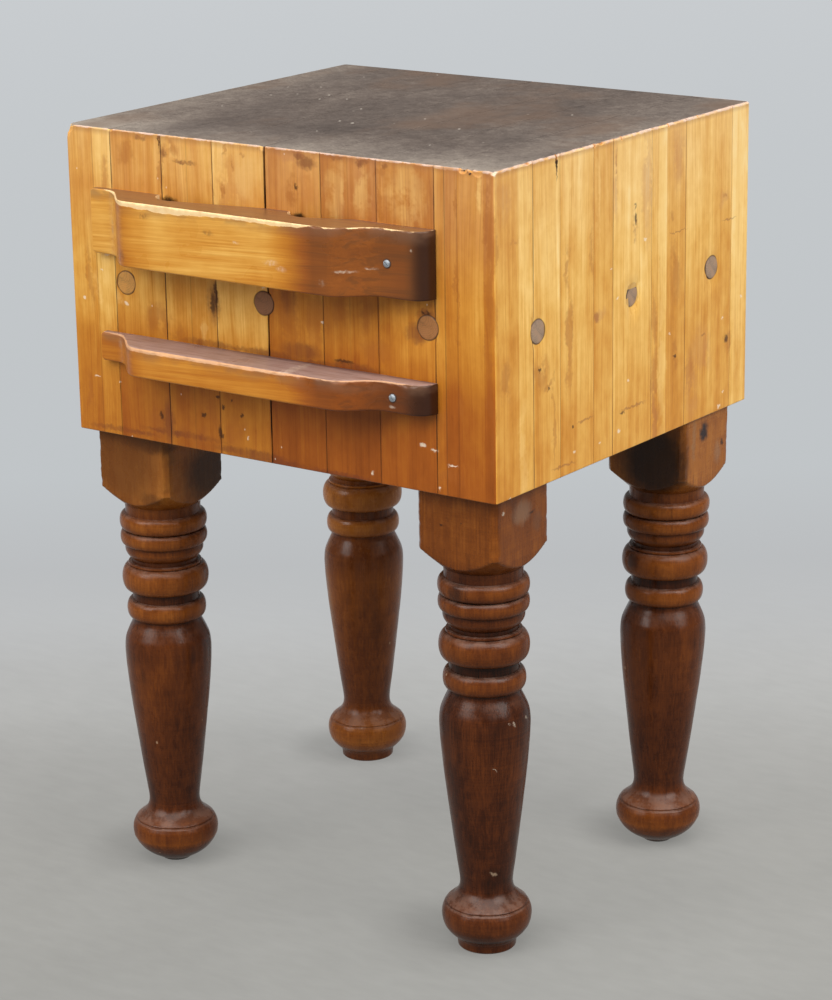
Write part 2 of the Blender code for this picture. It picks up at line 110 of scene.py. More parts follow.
def closed_piece(name, rings, material, nodes, sharp=40.0, hollow=None):
    """Quads between rings of points, rings[row, column], each ring closed on itself.

    The first and the last ring have shrunk to a line or a point, and the points that
    meet there are merged, so that the surface is closed."""
    rows, columns = rings.shape[:2]
    index = np.arange(rows * columns).reshape(rows, columns)
    after = np.roll(index, -1, axis=1)
    quads = np.stack((index[:-1], after[:-1], after[1:], index[1:]), axis=-1).reshape(-1, 4)
    mesh = bpy.data.meshes.new(name)
    mesh.from_pydata(rings.reshape(-1, 3), [], quads)
    if hollow is not None:
        mesh.attributes.new("hollow", "FLOAT", "POINT").data.foreach_set("value", hollow.ravel())
    work = bmesh.new()
    work.from_mesh(mesh)
    bmesh.ops.remove_doubles(work, verts=work.verts, dist=2e-6)
    bmesh.ops.dissolve_degenerate(work, edges=work.edges, dist=1e-7)
    bmesh.ops.recalc_face_normals(work, faces=work.faces)
    work.to_mesh(mesh)
    work.free()
    mesh.shade_smooth()
    mesh.set_sharp_from_angle(angle=math.radians(sharp))
    mesh.materials.append(material)
    piece = bpy.data.objects.new(name, mesh)
    scene.collection.objects.link(piece)
    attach(piece, "root")
    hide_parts(*nodes)
    return piece


def spaced(start, end, step, fine=()):
    """Positions from start to end, about a step apart, and closer where detail is."""
    marks = [np.linspace(start, end, max(2, int(round((end - start) / step)) + 1))]
    for centre, reach, pitch in fine:
        marks.append(np.arange(centre - reach, centre + reach + pitch / 2, pitch))
    marks = np.unique(np.round(np.concatenate(marks), 5))
    inside = marks[(marks > start + 2e-4) & (marks < end - 2e-4)]
    return np.concatenate(([start], inside, [end]))


# ---------------------------------------------------------------------- the block

SLAB_JOINTS = (0.0625, 0.133, 0.203, 0.2722, 0.3455, 0.416, 0.4875)
RIGHT_JOINTS = (0.069, 0.1185, 0.182, 0.2195, 0.2965, 0.3665, 0.4645)
LEFT_JOINTS = (0.100, 0.190, 0.285, 0.352, 0.450)
OPEN_SLAB = "block_slab_5"
OPEN_TOP, OPEN_BOTTOM = 0.0022, 0.0012
# How far the four outer arrises have worn round: left, right, front, back.
TOP_ARRIS = {"left": 0.0016, "right": 0.0026, "front": 0.0013, "back": 0.0016}
JOINT_ARRIS = 0.00022
UNDER_ARRIS = 0.0010
CORNER_WEAR = 0.0026

# Chips out of the top arrises and the near corner: place, reach along x, y, z, depth.
CHIPS = (
    ((LEFT, FRONT, TOP), (0.011, 0.007, 0.010), 0.0042),
    ((0.243, FRONT, TOP), (0.006, 0.004, 0.005), 0.0026),
    ((0.252, FRONT, TOP), (0.0035, 0.0045, 0.004), 0.0022),
    ((0.261, FRONT, TOP - 0.001), (0.007, 0.003, 0.006), 0.0014),
    ((RIGHT, FRONT, TOP), (0.006, 0.005, 0.004), 0.0011),
    ((RIGHT, FRONT + 0.002, TOP - 0.100), (0.004, 0.004, 0.012), 0.0010),
    ((RIGHT, FRONT, TOP - 0.190), (0.004, 0.004, 0.010), 0.0012),
    ((-0.217, FRONT, TOP), (0.004, 0.003, 0.003), 0.0012),
    ((-0.0085, FRONT, TOP), (0.004, 0.004, 0.005), 0.0013),
    ((RIGHT, FRONT + 0.112, TOP), (0.005, 0.0013, 0.011), 0.0034),
    ((RIGHT, FRONT + 0.184, TOP), (0.006, 0.0015, 0.004), 0.0030),
    ((RIGHT, FRONT + 0.197, TOP), (0.004, 0.005, 0.003), 0.0014),
    ((RIGHT, FRONT + 0.236, TOP), (0.006, 0.0012, 0.004), 0.0026),
    ((RIGHT, FRONT + 0.330, TOP), (0.004, 0.0016, 0.004), 0.0020),
    ((RIGHT, FRONT + 0.391, TOP), (0.004, 0.0014, 0.003), 0.0016),
    ((RIGHT, FRONT + 0.060, TOP), (0.003, 0.006, 0.0025), 0.0010),
)


def stave_outline(box, corners, x_marks, y_marks):
    """A rectangle with rounded corners, anticlockwise from the front left corner.

    Returns the points, and how much each one belongs to the left, right, front and back
    side, which is the square of its outward direction."""
    (x0, x1), (y0, y1) = box
    turns = np.linspace(0, np.pi / 2, 6)
    points, facing = [], []
    sides = (
        (x0, y0, np.pi, corners[0]),
        (x1, y0, 1.5 * np.pi, corners[1]),
        (x1, y1, 0.0, corners[2]),
        (x0, y1, 0.5 * np.pi, corners[3]),
    )
    for number, (corner_x, corner_y, begin, radius) in enumerate(sides):
        angle = begin + turns
        centre_x = corner_x + radius * (1 if corner_x == x0 else -1)
        centre_y = corner_y + radius * (1 if corner_y == y0 else -1)
        points.append(np.stack((centre_x + radius * np.cos(angle), centre_y + radius * np.sin(angle)), 1))
        facing.append(np.stack((np.cos(angle), np.sin(angle)), 1))
        following = corners[(number + 1) % 4]
        if number % 2 == 0:
            marks = x_marks[(x_marks > x0 + max(radius, following) + 1e-4)]
            marks = marks[marks < x1 - max(radius, following) - 1e-4]
            marks = marks if number == 0 else marks[::-1]
            run = np.stack((marks, np.full(len(marks), corner_y)), 1)
            normal = (0.0, -1.0) if number == 0 else (0.0, 1.0)
        else:
            marks = y_marks[(y_marks > y0 + max(radius, following) + 1e-4)]
            marks = marks[marks < y1 - max(radius, following) - 1e-4]
            marks = marks if number == 1 else marks[::-1]
            run = np.stack((np.full(len(marks), corner_x), marks), 1)
            normal = (1.0, 0.0) if number == 1 else (-1.0, 0.0)
        points.append(run)
        facing.append(np.tile(normal, (len(marks), 1)))
    points, facing = np.concatenate(points), np.concatenate(facing)
    share = np.stack(
        (
            np.clip(-facing[:, 0], 0, 1), np.clip(facing[:, 0], 0, 1),
            np.clip(-facing[:, 1], 0, 1), np.clip(facing[:, 1], 0, 1),
        ),
        1,
    )
    return points, share**2


def sunk_hole(points, axis, face, inward, across, height, depth):
    """Sink a round hole into a flat face: points inside the circle move in by the depth,
    and those next to the circle slide onto it, so that the rim is round."""
    other = 1 - axis
    away = np.stack((points[..., other] - across, points[..., 2] - height), -1)
    distance = np.maximum(np.linalg.norm(away, axis=-1), 1e-9)
    near_face = (points[..., axis] - face) * inward < depth
    rim = near_face & (np.abs(distance - HOLE_RADIUS) < 0.00045)
    scale = np.where(rim, HOLE_RADIUS / distance, 1.0)
    points[..., other] = across + away[..., 0] * scale
    points[..., 2] = height + away[..., 1] * scale
    inside = near_face & (distance < HOLE_RADIUS - 0.00045)
    points[..., axis] = np.where(inside, face + inward * depth, points[..., axis])


def chipped(points):
    """Push points in where a chip is: most at its middle, along the slope of the arris."""
    for place, reach, depth in CHIPS:
        offset = (points - np.array(place)) / np.array(reach)
        strength = np.clip(1.0 - (offset**2).sum(-1), 0.0, 1.0) ** 0.8
        inward = np.array(
            (
                -1.0 if place[0] == RIGHT else float(place[0] == LEFT),
                1.0 if place[1] < FRONT + 0.004 else 0.0,
                -0.8 if place[2] > TOP - 0.002 else 0.0,
            )
        )
        points += (depth * strength)[..., None] * inward / np.linalg.norm(inward)
    return points


def build_stave(name, box, outer, holes, material):
    """One upright stave: its plan outline carried up from the floor of the block to its top.

    Along the arrises each outline is drawn in and lifted through a quarter turn, and the
    two ends close on the outline's middle line. Outer arrises are worn rounder."""
    (x0, x1), (y0, y1) = box
    across_fine = [(hole[2], 0.0152, 0.0009) for hole in holes if hole[0] == 1]
    depth_fine = [(hole[2], 0.0152, 0.0009) for hole in holes if hole[0] == 0]
    chip_x = [(chip[0][0], chip[1][0], 0.0012) for chip in CHIPS if chip[0][1] < FRONT + 0.004]
    chip_y = [(chip[0][1], max(chip[1][1], 0.002), 0.0006) for chip in CHIPS if chip[0][0] == RIGHT]
    front_step = 0.004 if "front" in outer else 0.02
    side_step = 0.005 if ("left" in outer or "right" in outer) else 0.03
    x_marks = spaced(x0, x1, front_step, across_fine + (chip_x if "front" in outer else []))
    y_marks = spaced(y0, y1, side_step, depth_fine + (chip_y if "right" in outer else []))

    def corner(side, face):
        return CORNER_WEAR if side in outer and face in outer else JOINT_ARRIS

    corners = (corner("left", "front"), corner("right", "front"), corner("right", "back"), corner("left", "back"))
    outline, share = stave_outline(box, corners, x_marks, y_marks)
    names = ("left", "right", "front", "back")
    worn = np.array([TOP_ARRIS[side] if side in outer else JOINT_ARRIS for side in names])
    under = np.array([UNDER_ARRIS if side in outer else JOINT_ARRIS for side in names])
    seed = sum(map(ord, name))
    along = outline[:, 0] + outline[:, 1]
    uneven = 1.0 + ripple(along, seed, ((0.011, 0.14), (0.027, 0.16), (0.063, 0.16)))

    def ring(height, inset, drop, inward=0.0):
        """The outline at one height, drawn in by an inset on each side, then to its middle."""
        left, right, front, back = inset
        x = x0 + left + (outline[:, 0] - x0) * (x1 - right - x0 - left) / (x1 - x0)
        y = y0 + front + (outline[:, 1] - y0) * (y1 - back - y0 - front) / (y1 - y0)
        half = min(x1 - x0, y1 - y0) / 2
        x += (np.clip(x, x0 + half, x1 - half) - x) * inward
        y += (np.clip(y, y0 + half, y1 - half) - y) * inward
        return np.stack((x, y, height + drop), 1)

    rings = []
    flat = np.zeros(len(outline))
    for inward in (1.0, 0.4, 0.06):
        rings.append(ring(UNDER, under, flat, inward))
    for turn in np.linspace(0, np.pi / 2, 4):
        rings.append(ring(UNDER, under * (1 - math.sin(turn)), share @ under * (1 - math.cos(turn))))
    fine = [(hole[3], 0.0152, 0.0009) for hole in holes]
    if "right" in outer or "front" in outer:
        fine.append((TOP - 0.006, 0.003, 0.0009))
    for height in spaced(UNDER + 0.002, TOP - 0.0032, 0.012, fine):
        rings.append(ring(height, under * 0, flat))
    for turn in np.linspace(0, np.pi / 2, 7):
        inset = worn * (1 - math.cos(turn))
        rings.append(ring(TOP, inset, -(share @ worn) * uneven * (1 - math.sin(turn))))
    for inward in (0.03, 0.07, 0.14, 0.35, 0.7, 1.0):
        rings.append(ring(TOP, worn, flat, inward))
    points = np.array(rings)
    if name == OPEN_SLAB:
        rise = (points[..., 2] - UNDER) / (TOP - UNDER)
        inward = smooth_step((np.minimum(points[..., 1] - FRONT, BACK - points[..., 1]) - 0.004) / 0.022)
        opening = (OPEN_BOTTOM + (OPEN_TOP - OPEN_BOTTOM) * rise - GAP) * (1 - inward)
        points[..., 0] += opening * (x1 - points[..., 0]) / (x1 - x0)
    for hole in holes:
        sunk_hole(points, *hole)
    if "front" in outer or "right" in outer:
        points = chipped(points)
    return closed_piece(f"{name}_wood", points, material, (name,), 50.0)


def frame_slot(node):
    """The record's material slot of a CAD node."""
    for part in frame["record"]["subparts"]:
        if part["node"] == node:
            return part["material_slot"]
    return None


def stave_plan():
    """Each stave's name, plan box, outer sides and the plug holes that reach it."""
    plan = []
    edges = (0.0, *SLAB_JOINTS, RIGHT - LEFT)
    for number in range(2, 8):
        left, right = edges[number - 1] + GAP, edges[number]
        plan.append((f"block_slab_{number}", ((LEFT + left, LEFT + right), (FRONT, BACK)), ("front", "back")))
    for side, joints in (("left", LEFT_JOINTS), ("right", RIGHT_JOINTS)):
        x_box = (LEFT, LEFT + edges[1]) if side == "left" else (LEFT + edges[7] + GAP, RIGHT)
        marks = (0.0, *joints, BACK - FRONT)
        for number, (near, far) in enumerate(zip(marks, marks[1:]), 1):
            outer = [side]
            if near == 0.0:
                outer.append("front")
            if far == BACK - FRONT:
                outer.append("back")
            y_box = (FRONT + near + (GAP if number > 1 else 0.0), FRONT + far)
            plan.append((f"block_{side}_stave_{number}", (x_box, y_box), tuple(outer)))
    return plan


def holes_of(box, outer):
    """Plug holes that reach a stave: axis, face, inward direction, across, height, depth."""
    (x0, x1), (y0, y1) = box
    found = []
    for from_left in FRONT_PLUGS:
        across = LEFT + from_left
        if x0 - HOLE_RADIUS < across < x1 + HOLE_RADIUS:
            if "front" in outer:
                found.append((1, FRONT, 1.0, across, FRONT_PLUG_HEIGHT, HOLE_DEPTH))
            if "back" in outer:
                found.append((1, BACK, -1.0, across, FRONT_PLUG_HEIGHT, HOLE_DEPTH))
    for number, from_front in enumerate(SIDE_PLUGS):
        across = FRONT + from_front
        if y0 - HOLE_RADIUS < across < y1 + HOLE_RADIUS:
            if "right" in outer:
                depth = DEEP_HOLE if number == 1 else HOLE_DEPTH
                found.append((0, RIGHT, -1.0, across, SIDE_PLUG_HEIGHT + SIDE_PLUG_RISE[number], depth))
            if "left" in outer:
                found.append((0, LEFT, 1.0, across, SIDE_PLUG_HEIGHT + SIDE_PLUG_RISE[number], HOLE_DEPTH))
    return found


# ------------------------------------------------------------- turned and lofted pieces


def turned_rings(profile, sides, placement):
    """Circles of the profile's radii at its heights, from (radius, height) pairs."""
    profile = np.asarray(profile, float)
    turn = np.arange(sides) * 2 * np.pi / sides
    radius, height = profile[:, :1], profile[:, 1:]
    flat = np.ones_like(turn)
    local = np.stack((radius * np.cos(turn), radius * np.sin(turn), height * flat), -1)
    return moved(local, placement)


def moved(points, placement):
    """Points carried by a 4 by 4 placement."""
    matrix = np.array(placement)
    return points @ matrix[:3, :3].T + matrix[:3, 3]


def facing(direction, start):
    """A placement that turns +Z into a direction, from a start point."""
    turn = Vector((0, 0, 1)).rotation_difference(Vector(direction)).to_matrix().to_4x4()
    return Matrix.Translation(start) @ turn


def build_plug(name, mouth, inward, sunk, material):
    """A wooden plug: a flat disc with a softened rim and a slightly uneven face."""
    face = sunk
    profile = [
        (0.0, 0.014), (PLUG_RADIUS, 0.014), (PLUG_RADIUS, face + 0.0006),
        (PLUG_RADIUS - 0.0002, face + 0.0002), (PLUG_RADIUS - 0.0006, face + 0.00003),
        (PLUG_RADIUS * 0.8, face), (PLUG_RADIUS * 0.5, face + 0.0001), (PLUG_RADIUS * 0.2, face), (0.0, face),
    ]
    rings = turned_rings(profile[::-1], 64, facing(inward, mouth))
    return closed_piece(f"{name}_wood", rings[:, ::-1], material, (name,), 50.0)


def build_screw(name, middle, seat, material):
    """A slotted round head on a straight shank. The slot is a strip of the dome set back."""
    dome = np.linspace(0, np.pi / 2, 14)
    profile = [(0.0, -0.055), (0.0009, -0.054), (0.0021, -0.048), (0.0021, 0.0)]
    profile += [(0.0040, 0.0), (0.0040, 0.0008)]
    profile += [(0.0040 * math.cos(turn), 0.0008 + 0.0013 * math.sin(turn)) for turn in dome[1:]]
    profile[-1] = (0.0, profile[-1][1])
    rings = turned_rings(profile, 72, facing((0, -1, 0), (middle[0], seat, middle[1])))
    lean = math.radians(35)
    off = (rings[..., 0] - middle[0]) * math.sin(lean) + (rings[..., 2] - middle[1]) * math.cos(lean)
    head = (rings[..., 1] < seat - 0.0009) & (np.abs(off) < 0.0005)
    rings[..., 1] = np.where(head, seat - 0.0009, rings[..., 1])
    return closed_piece(f"{name}_steel", rings, material, (name,), 35.0)


# ---------------------------------------------------------------------------- the legs

LEG_PLACES = {
    "front_left": (LEFT + 0.060, FRONT + 0.065),
    "front_right": (RIGHT - 0.063, FRONT + 0.067),
    "back_left": (LEFT + 0.050, BACK - 0.050),
    "back_right": (RIGHT - 0.055, BACK - 0.076),
}
WIDE_FOOT_LEGS = ("front_right", "back_left")
LEG_LEAN = {"back_right": (-0.008, -0.006)}
LEG_SQUARE, LEG_CHAMFER = 0.100, 0.005
TENON_RADIUS, TENON_LENGTH = 0.022, 0.080


def bead(top, bottom, full, valley, points=15):
    """Half an ellipse that swells between two equal radii, as (radius, height), downwards."""
    turn = np.linspace(0, np.pi, points)
    radius = valley + (full - valley) * np.sin(turn) ** 0.85
    return np.stack((radius, (top + bottom) / 2 + (top - bottom) / 2 * np.cos(turn)), 1)


def flowing(points, between=9):
    """A smooth curve through (radius, height) points: a Catmull-Rom spline."""
    points = np.asarray(points, float)
    padded = np.vstack((2 * points[0] - points[1], points, 2 * points[-1] - points[-2]))
    share = np.linspace(0, 1, between, endpoint=False)[:, None]
    p0, p1, p2, p3 = padded[:-3, None], padded[1:-2, None], padded[2:-1, None], padded[3:, None]
    curve = p1 + 0.5 * share * (
        p2 - p0 + share * (2 * p0 - 5 * p1 + 4 * p2 - p3 + share * (3 * (p1 - p2) + p3 - p0))
    )
    return np.vstack((curve.reshape(-1, 2), points[-1:]))


def leg_profile(wide_foot):
    """The turned outline from the tenon's end down to the floor, as (radius, height).

    It runs pommel, neck, three thin beads, great bead, collar, lower bead, vase,
    ankle and ball foot, with sharp valleys left between the beads."""
    shoulder = UNDER - GAP
    parts = [
        [(0.0, shoulder + TENON_LENGTH), (TENON_RADIUS - 0.001, shoulder + TENON_LENGTH)],
        [(TENON_RADIUS, shoulder + TENON_LENGTH - 0.001), (TENON_RADIUS, shoulder), (0.075, shoulder)],
        np.stack((np.full(16, 0.075), np.linspace(shoulder - 0.001, 0.4600, 16)), 1),
        np.stack((np.linspace(0.0735, 0.0425, 30), np.linspace(0.4588, 0.4315, 30)), 1),
        flowing([(0.0425, 0.4310), (0.0421, 0.4260), (0.0424, 0.4205)], 4),
        bead(0.4198, 0.4012, 0.0489, 0.0438),
        bead(0.4006, 0.3835, 0.0487, 0.0436),
        flowing([(0.0437, 0.3830), (0.0436, 0.3760), (0.0408, 0.3705), (0.0376, 0.3672)], 5),
        [(0.0372, 0.3650), (0.0372, 0.3626), (0.0408, 0.3620), (0.0413, 0.3604), (0.0406, 0.3592)],
        bead(0.3590, 0.3290, 0.0486, 0.0400, 23),
        [(0.0378, 0.3284), (0.0376, 0.3240), (0.0378, 0.3182)],
        bead(0.3178, 0.2962, 0.0445, 0.0388, 17),
        flowing(
            [
                (0.0384, 0.2950), (0.0398, 0.2900), (0.0440, 0.2810), (0.0474, 0.2720), (0.0487, 0.2620),
                (0.0486, 0.2510), (0.0475, 0.2330), (0.0448, 0.2040), (0.0405, 0.1680), (0.0358, 0.1300),
                (0.0318, 0.1000), (0.0290, 0.0800), (0.0289, 0.0715), (0.0307, 0.0650),
                (0.0350, 0.0592), (0.0408, 0.0545), (0.0440, 0.0518),
            ],
            9,
        ),
        [(0.0443, 0.0508), (0.0436, 0.0502), (0.0448, 0.0496)],
        flowing([(0.0462, 0.0484), (0.0482, 0.0430), (0.0488, 0.0370), (0.0480, 0.0305)], 6),
    ]
    if wide_foot:
        parts.append(flowing([(0.0462, 0.0250), (0.0425, 0.0195), (0.0380, 0.0148), (0.0338, 0.0112)], 5))
        parts.append([(0.0322, 0.0080), (0.0316, 0.0012), (0.0306, 0.0), (0.0, 0.0)])
    else:
        parts.append(flowing([(0.0446, 0.0235), (0.0398, 0.0170), (0.0330, 0.0110), (0.0240, 0.0055)], 5))
        parts.append([(0.0180, 0.0024), (0.0165, 0.0006), (0.0158, 0.0), (0.0, 0.0)])
    return np.vstack([np.asarray(part, float) for part in parts])[::-1]


def build_leg(place, material):
    """Square stock with chamfered corners, met by a turned profile spun round the axis.

    At each angle and height the radius is the smaller of the profile's and the square's."""
    profile = leg_profile(place in WIDE_FOOT_LEGS)
    half, inner = LEG_SQUARE / 2, LEG_SQUARE / 2 - LEG_CHAMFER
    edge = math.atan2(inner, half)
    base = np.arange(0, 2 * np.pi, np.pi / 56)
    edges = np.concatenate([quarter * np.pi / 2 + np.array((-edge, edge)) for quarter in range(4)]) % (2 * np.pi)
    turn = np.unique(np.round(np.concatenate((base, edges)), 6))
    radius, height = profile[:, :1], profile[:, 1:]
    seed = sum(map(ord, place))
    nicks = ripple(height, seed, ((0.009, 0.00022), (0.021, 0.0003), (0.047, 0.0003)))
    flat = half / np.maximum(np.abs(np.cos(turn)), np.abs(np.sin(turn)))
    slant = (half + inner) / (np.abs(np.cos(turn)) + np.abs(np.sin(turn)))
    square = np.minimum(flat, slant + nicks * (height > 0.43))
    wander = 0.00025 * np.sin(2 * turn + seed) * (height < 0.43)
    reach = np.minimum(radius, square) + wander * (radius > 0.002)
    local = np.stack((reach * np.cos(turn), reach * np.sin(turn), height + 0 * turn), -1)
    x, y = LEG_PLACES[place]
    lean = np.array(LEG_LEAN.get(place, (0.0, 0.0)))
    local[..., :2] += np.array((x, y)) + lean * (1 - local[..., 2:] / UNDER)
    smoothed = np.convolve(np.pad(radius[:, 0], 9, "edge"), np.ones(19) / 19, "valid")
    hollow = np.where(height < 0.44, (smoothed[:, None] - radius) / 0.004, 0.0) + 0 * turn
    name = f"leg_{place}"
    return closed_piece(f"{name}_wood", local, material, (name,), 34.0, np.clip(hollow, -1, 1))


# --------------------------------------------------------------------------- the rails

RAILS = {
    "upper": {"left": 0.0400, "top": TOP - 0.0645, "height": 0.071},
    "lower": {"left": 0.0460, "top": TOP - 0.2225, "height": 0.032},
}
RAIL_RIGHT, RAIL_DEPTH = 0.4895, 0.0497
KNIFE_POCKETS = ((0.130, 0.281, 0.0225), (0.306, 0.390, 0.0190))
SCREW_FROM_LEFT = {"upper": 0.445, "lower": 0.449}
TAIL_DEPTH = 0.022


def rail_front(x, left):
    """How far out the front is at each place along: a lip, an ogee out, a flat, an ogee
    in to the tail, and an egg-round end."""
    ogee = 0.5 - 0.5 * np.cos(np.pi * np.clip((x - left - 0.022) / 0.060, 0, 1))
    back_ogee = 0.5 - 0.5 * np.cos(np.pi * np.clip((x - 0.388) / 0.050, 0, 1))
    out = 0.009 + (RAIL_DEPTH - 0.009) * ogee + (TAIL_DEPTH - RAIL_DEPTH) * back_ogee
    share = np.clip((x - (RAIL_RIGHT - 0.020)) / 0.020, 0, 1)
    return out * np.sqrt(np.clip(1 - share**2, 0, 1)) ** 0.8


def rail_back(x, pockets):
    """How far in each pocket cuts at each place along: a blunt quarter ellipse, then a
    straight run out to nothing."""
    depth = np.zeros_like(x)
    for left_end, right_end, deep in pockets:
        nose = 1 - np.clip((x - left_end) / 0.030, 0, 1)
        blunt = deep * np.sqrt(np.clip(1 - nose**2, 0, 1))
        taper = deep * np.clip((right_end - x) / (right_end - left_end - 0.030), 0, 1)
        inside = (x > left_end) & (x < right_end)
        depth = np.where(inside, np.minimum(blunt, taper), depth)
    return depth


def build_rail(rail, material):
    """A rail lofted along its length: at each place a rounded section from the pocket, or
    the block's face, out to the front curve. Its top front arris is worn unevenly."""
    left, top, height = (RAILS[rail][key] for key in ("left", "top", "height"))
    pockets = KNIFE_POCKETS if rail == "upper" else ()
    fine = [(pocket[0] + 0.004, 0.0045, 0.0004) for pocket in pockets]
    along = spaced(left, RAIL_RIGHT - 0.020, 0.0025, fine)
    end = RAIL_RIGHT - 0.020 + 0.020 * np.sin(np.linspace(0, np.pi / 2, 26))[1:]
    along = np.concatenate((along, end))
    front, back = rail_front(along, left), rail_back(along, pockets)
    soft_start = np.minimum(along - left, 0.0015)
    draw_in = 0.0015 - np.sqrt(np.clip(0.0015**2 - (0.0015 - soft_start) ** 2, 0, None))
    width = np.maximum(front - back, 0.0)
    seed = 7 if rail == "upper" else 19
    wave = ripple(along, seed, ((0.009, 0.22), (0.023, 0.25), (0.058, 0.3)))
    worn = np.minimum((0.0021 if rail == "upper" else 0.0034) * (1 + wave), width * 0.42)
    lower = np.minimum(0.0022, width * 0.42)
    rear = np.minimum(0.0007, width * 0.2)
    turn = np.linspace(0, np.pi / 2, 7)
    columns = []

    def place(out, level):
        columns.append(np.stack((LEFT + along, FRONT - GAP - out, level), 1))

    bottom = top - height
    for step in turn:
        place(front - lower * (1 - np.sin(step)), bottom + draw_in + lower * (1 - np.cos(step)))
    for share in np.linspace(0, 1, 18)[1:-1]:
        place(front, bottom + draw_in + lower + share * (height - 2 * draw_in - lower - worn))
    for step in turn:
        place(front - worn * (1 - np.cos(step)), top - draw_in - worn * (1 - np.sin(step)))
    for share in np.linspace(0, 1, 10)[1:-1]:
        place(front - worn + (back + rear - front + worn) * share, top - draw_in)
    for step in turn[::2]:
        place(back + rear * (1 - np.sin(step)), top - draw_in - rear * (1 - np.cos(step)))
    for share in (0.25, 0.5, 0.75):
        place(back, top - draw_in - rear - share * (height - 2 * rear - 2 * draw_in))
    for step in turn[::2]:
        place(back + rear * (1 - np.cos(step)), bottom + draw_in + rear * (1 - np.sin(step)))
    for share in (0.33, 0.66):
        place(back + rear + (front - lower - back - rear) * share, bottom + draw_in)
    rings = np.stack(columns, axis=1)
    middle = rings[0].mean(0)
    cap = np.repeat(middle[None, None], rings.shape[1], axis=1)
    inner = middle + (rings[:1] - middle) * 0.5
    rings = np.concatenate((cap, inner, rings))
    name = f"knife_rail_{rail}"
    return closed_piece(f"{name}_wood", rings, material, (name,), 45.0)


# ----------------------------------------------------------------------- materials


class Wiring:
    """Short calls for wiring a node tree: each returns the output of the node it adds."""

    def __init__(self, tree):
        self.tree = tree

    def add(self, kind, values=(), **settings):
        node = self.tree.nodes.new(kind)
        for key, setting in settings.items():
            setattr(node, key, setting)
        for key, value in dict(values).items():
            self.set(node.inputs[key], value)
        return node

    def set(self, socket, value):
        if isinstance(value, bpy.types.NodeSocket):
            self.tree.links.new(value, socket)
        elif socket.type == "RGBA" and len(value) == 3:
            socket.default_value = (*value, 1.0)
        else:
            socket.default_value = value

    def math(self, operation, first, second=0.0, third=0.0, clamp=False):
        values = {0: first, 1: second, 2: third}
        return self.add("ShaderNodeMath", values, operation=operation, use_clamp=clamp).outputs[0]

    def vector(self, operation, first, second=(0, 0, 0)):
        node = self.add("ShaderNodeVectorMath", {0: first, 1: second}, operation=operation)
        return node.outputs["Value" if operation in ("LENGTH", "DOT_PRODUCT") else "Vector"]

    def scaled(self, vector, scale, shift=(0, 0, 0), turn=(0, 0, 0)):
        values = {"Vector": vector, "Scale": scale, "Location": shift, "Rotation": turn}
        return self.add("ShaderNodeMapping", values).outputs[0]

    def noise(self, vector, scale=1.0, detail=2.0, roughness=0.5, distortion=0.0):
        values = {
            "Vector": vector, "Scale": scale, "Detail": detail,
            "Roughness": roughness, "Distortion": distortion,
        }
        return self.add("ShaderNodeTexNoise", values).outputs["Fac"]

    def span(self, value, low, high, start=0.0, end=1.0, kind="SMOOTHSTEP"):
        values = {0: value, 1: low, 2: high, 3: start, 4: end}
        return self.add("ShaderNodeMapRange", values, interpolation_type=kind).outputs[0]

    def ramp(self, value, stops, kind="LINEAR"):
        node = self.add("ShaderNodeValToRGB", {"Fac": value})
        node.color_ramp.interpolation = kind
        bands = node.color_ramp.elements
        while len(bands) < len(stops):
            bands.new(1.0)
        for band, (position, colour) in zip(bands, stops):
            band.position = position
            band.color = (*colour, 1.0) if len(colour) == 3 else (colour[0],) * 3 + (1.0,)
        return node.outputs["Color"]

    def blend(self, share, first, second, kind="MIX"):
        node = self.add("ShaderNodeMix", data_type="RGBA", blend_type=kind)
        self.set(node.inputs[0], share)
        self.set(node.inputs[6], first)
        self.set(node.inputs[7], second)
        return node.outputs[2]

    def bump(self, height, distance, strength=1.0):
        values = {"Height": height, "Distance": distance, "Strength": strength}
        return self.add("ShaderNodeBump", values).outputs[0]


def new_material(name):
    """A material, its wiring, its Principled node and the table's own coordinates."""
    material = bpy.data.materials.new(name)
    material.use_nodes = True
    wiring = Wiring(material.node_tree)
    shader = material.node_tree.nodes["Principled BSDF"]
    place = wiring.add("ShaderNodeTexCoord").outputs["Object"]
    return material, wiring, shader, place


# Aged varnish on maple, from darkest to palest, by the strength of its red.
AMBER = (
    (0.00, (0.012, 0.004, 0.002)),
    (0.10, (0.100, 0.022, 0.004)),
    (0.22, (0.228, 0.052, 0.004)),
    (0.33, (0.352, 0.092, 0.008)),
    (0.46, (0.495, 0.174, 0.016)),
    (0.58, (0.625, 0.266, 0.034)),
    (0.68, (0.725, 0.365, 0.068)),
    (0.78, (0.825, 0.475, 0.115)),
    (0.90, (0.930, 0.600, 0.195)),
    (1.00, (0.960, 0.700, 0.300)),
)

# How the tone goes from the bottom of the block, 0, to its top, 1. It is partly painted shade: on the front and the
# sides the tone darkens towards the bottom, where less light falls, and on the front the band between the rails is
# lifted against their shadow.
FRONT_FALL = (
    (0.00, (0.62,)), (0.20, (0.68,)), (0.32, (0.76,)), (0.42, (1.00,)), (0.58, (1.06,)), (0.72, (1.00,)),
    (0.80, (0.96,)), (0.90, (1.04,)), (1.00, (1.06,)),
)
SIDE_FALL = ((0.00, (0.82,)), (0.30, (0.87,)), (0.75, (0.98,)), (1.00, (1.0,)))

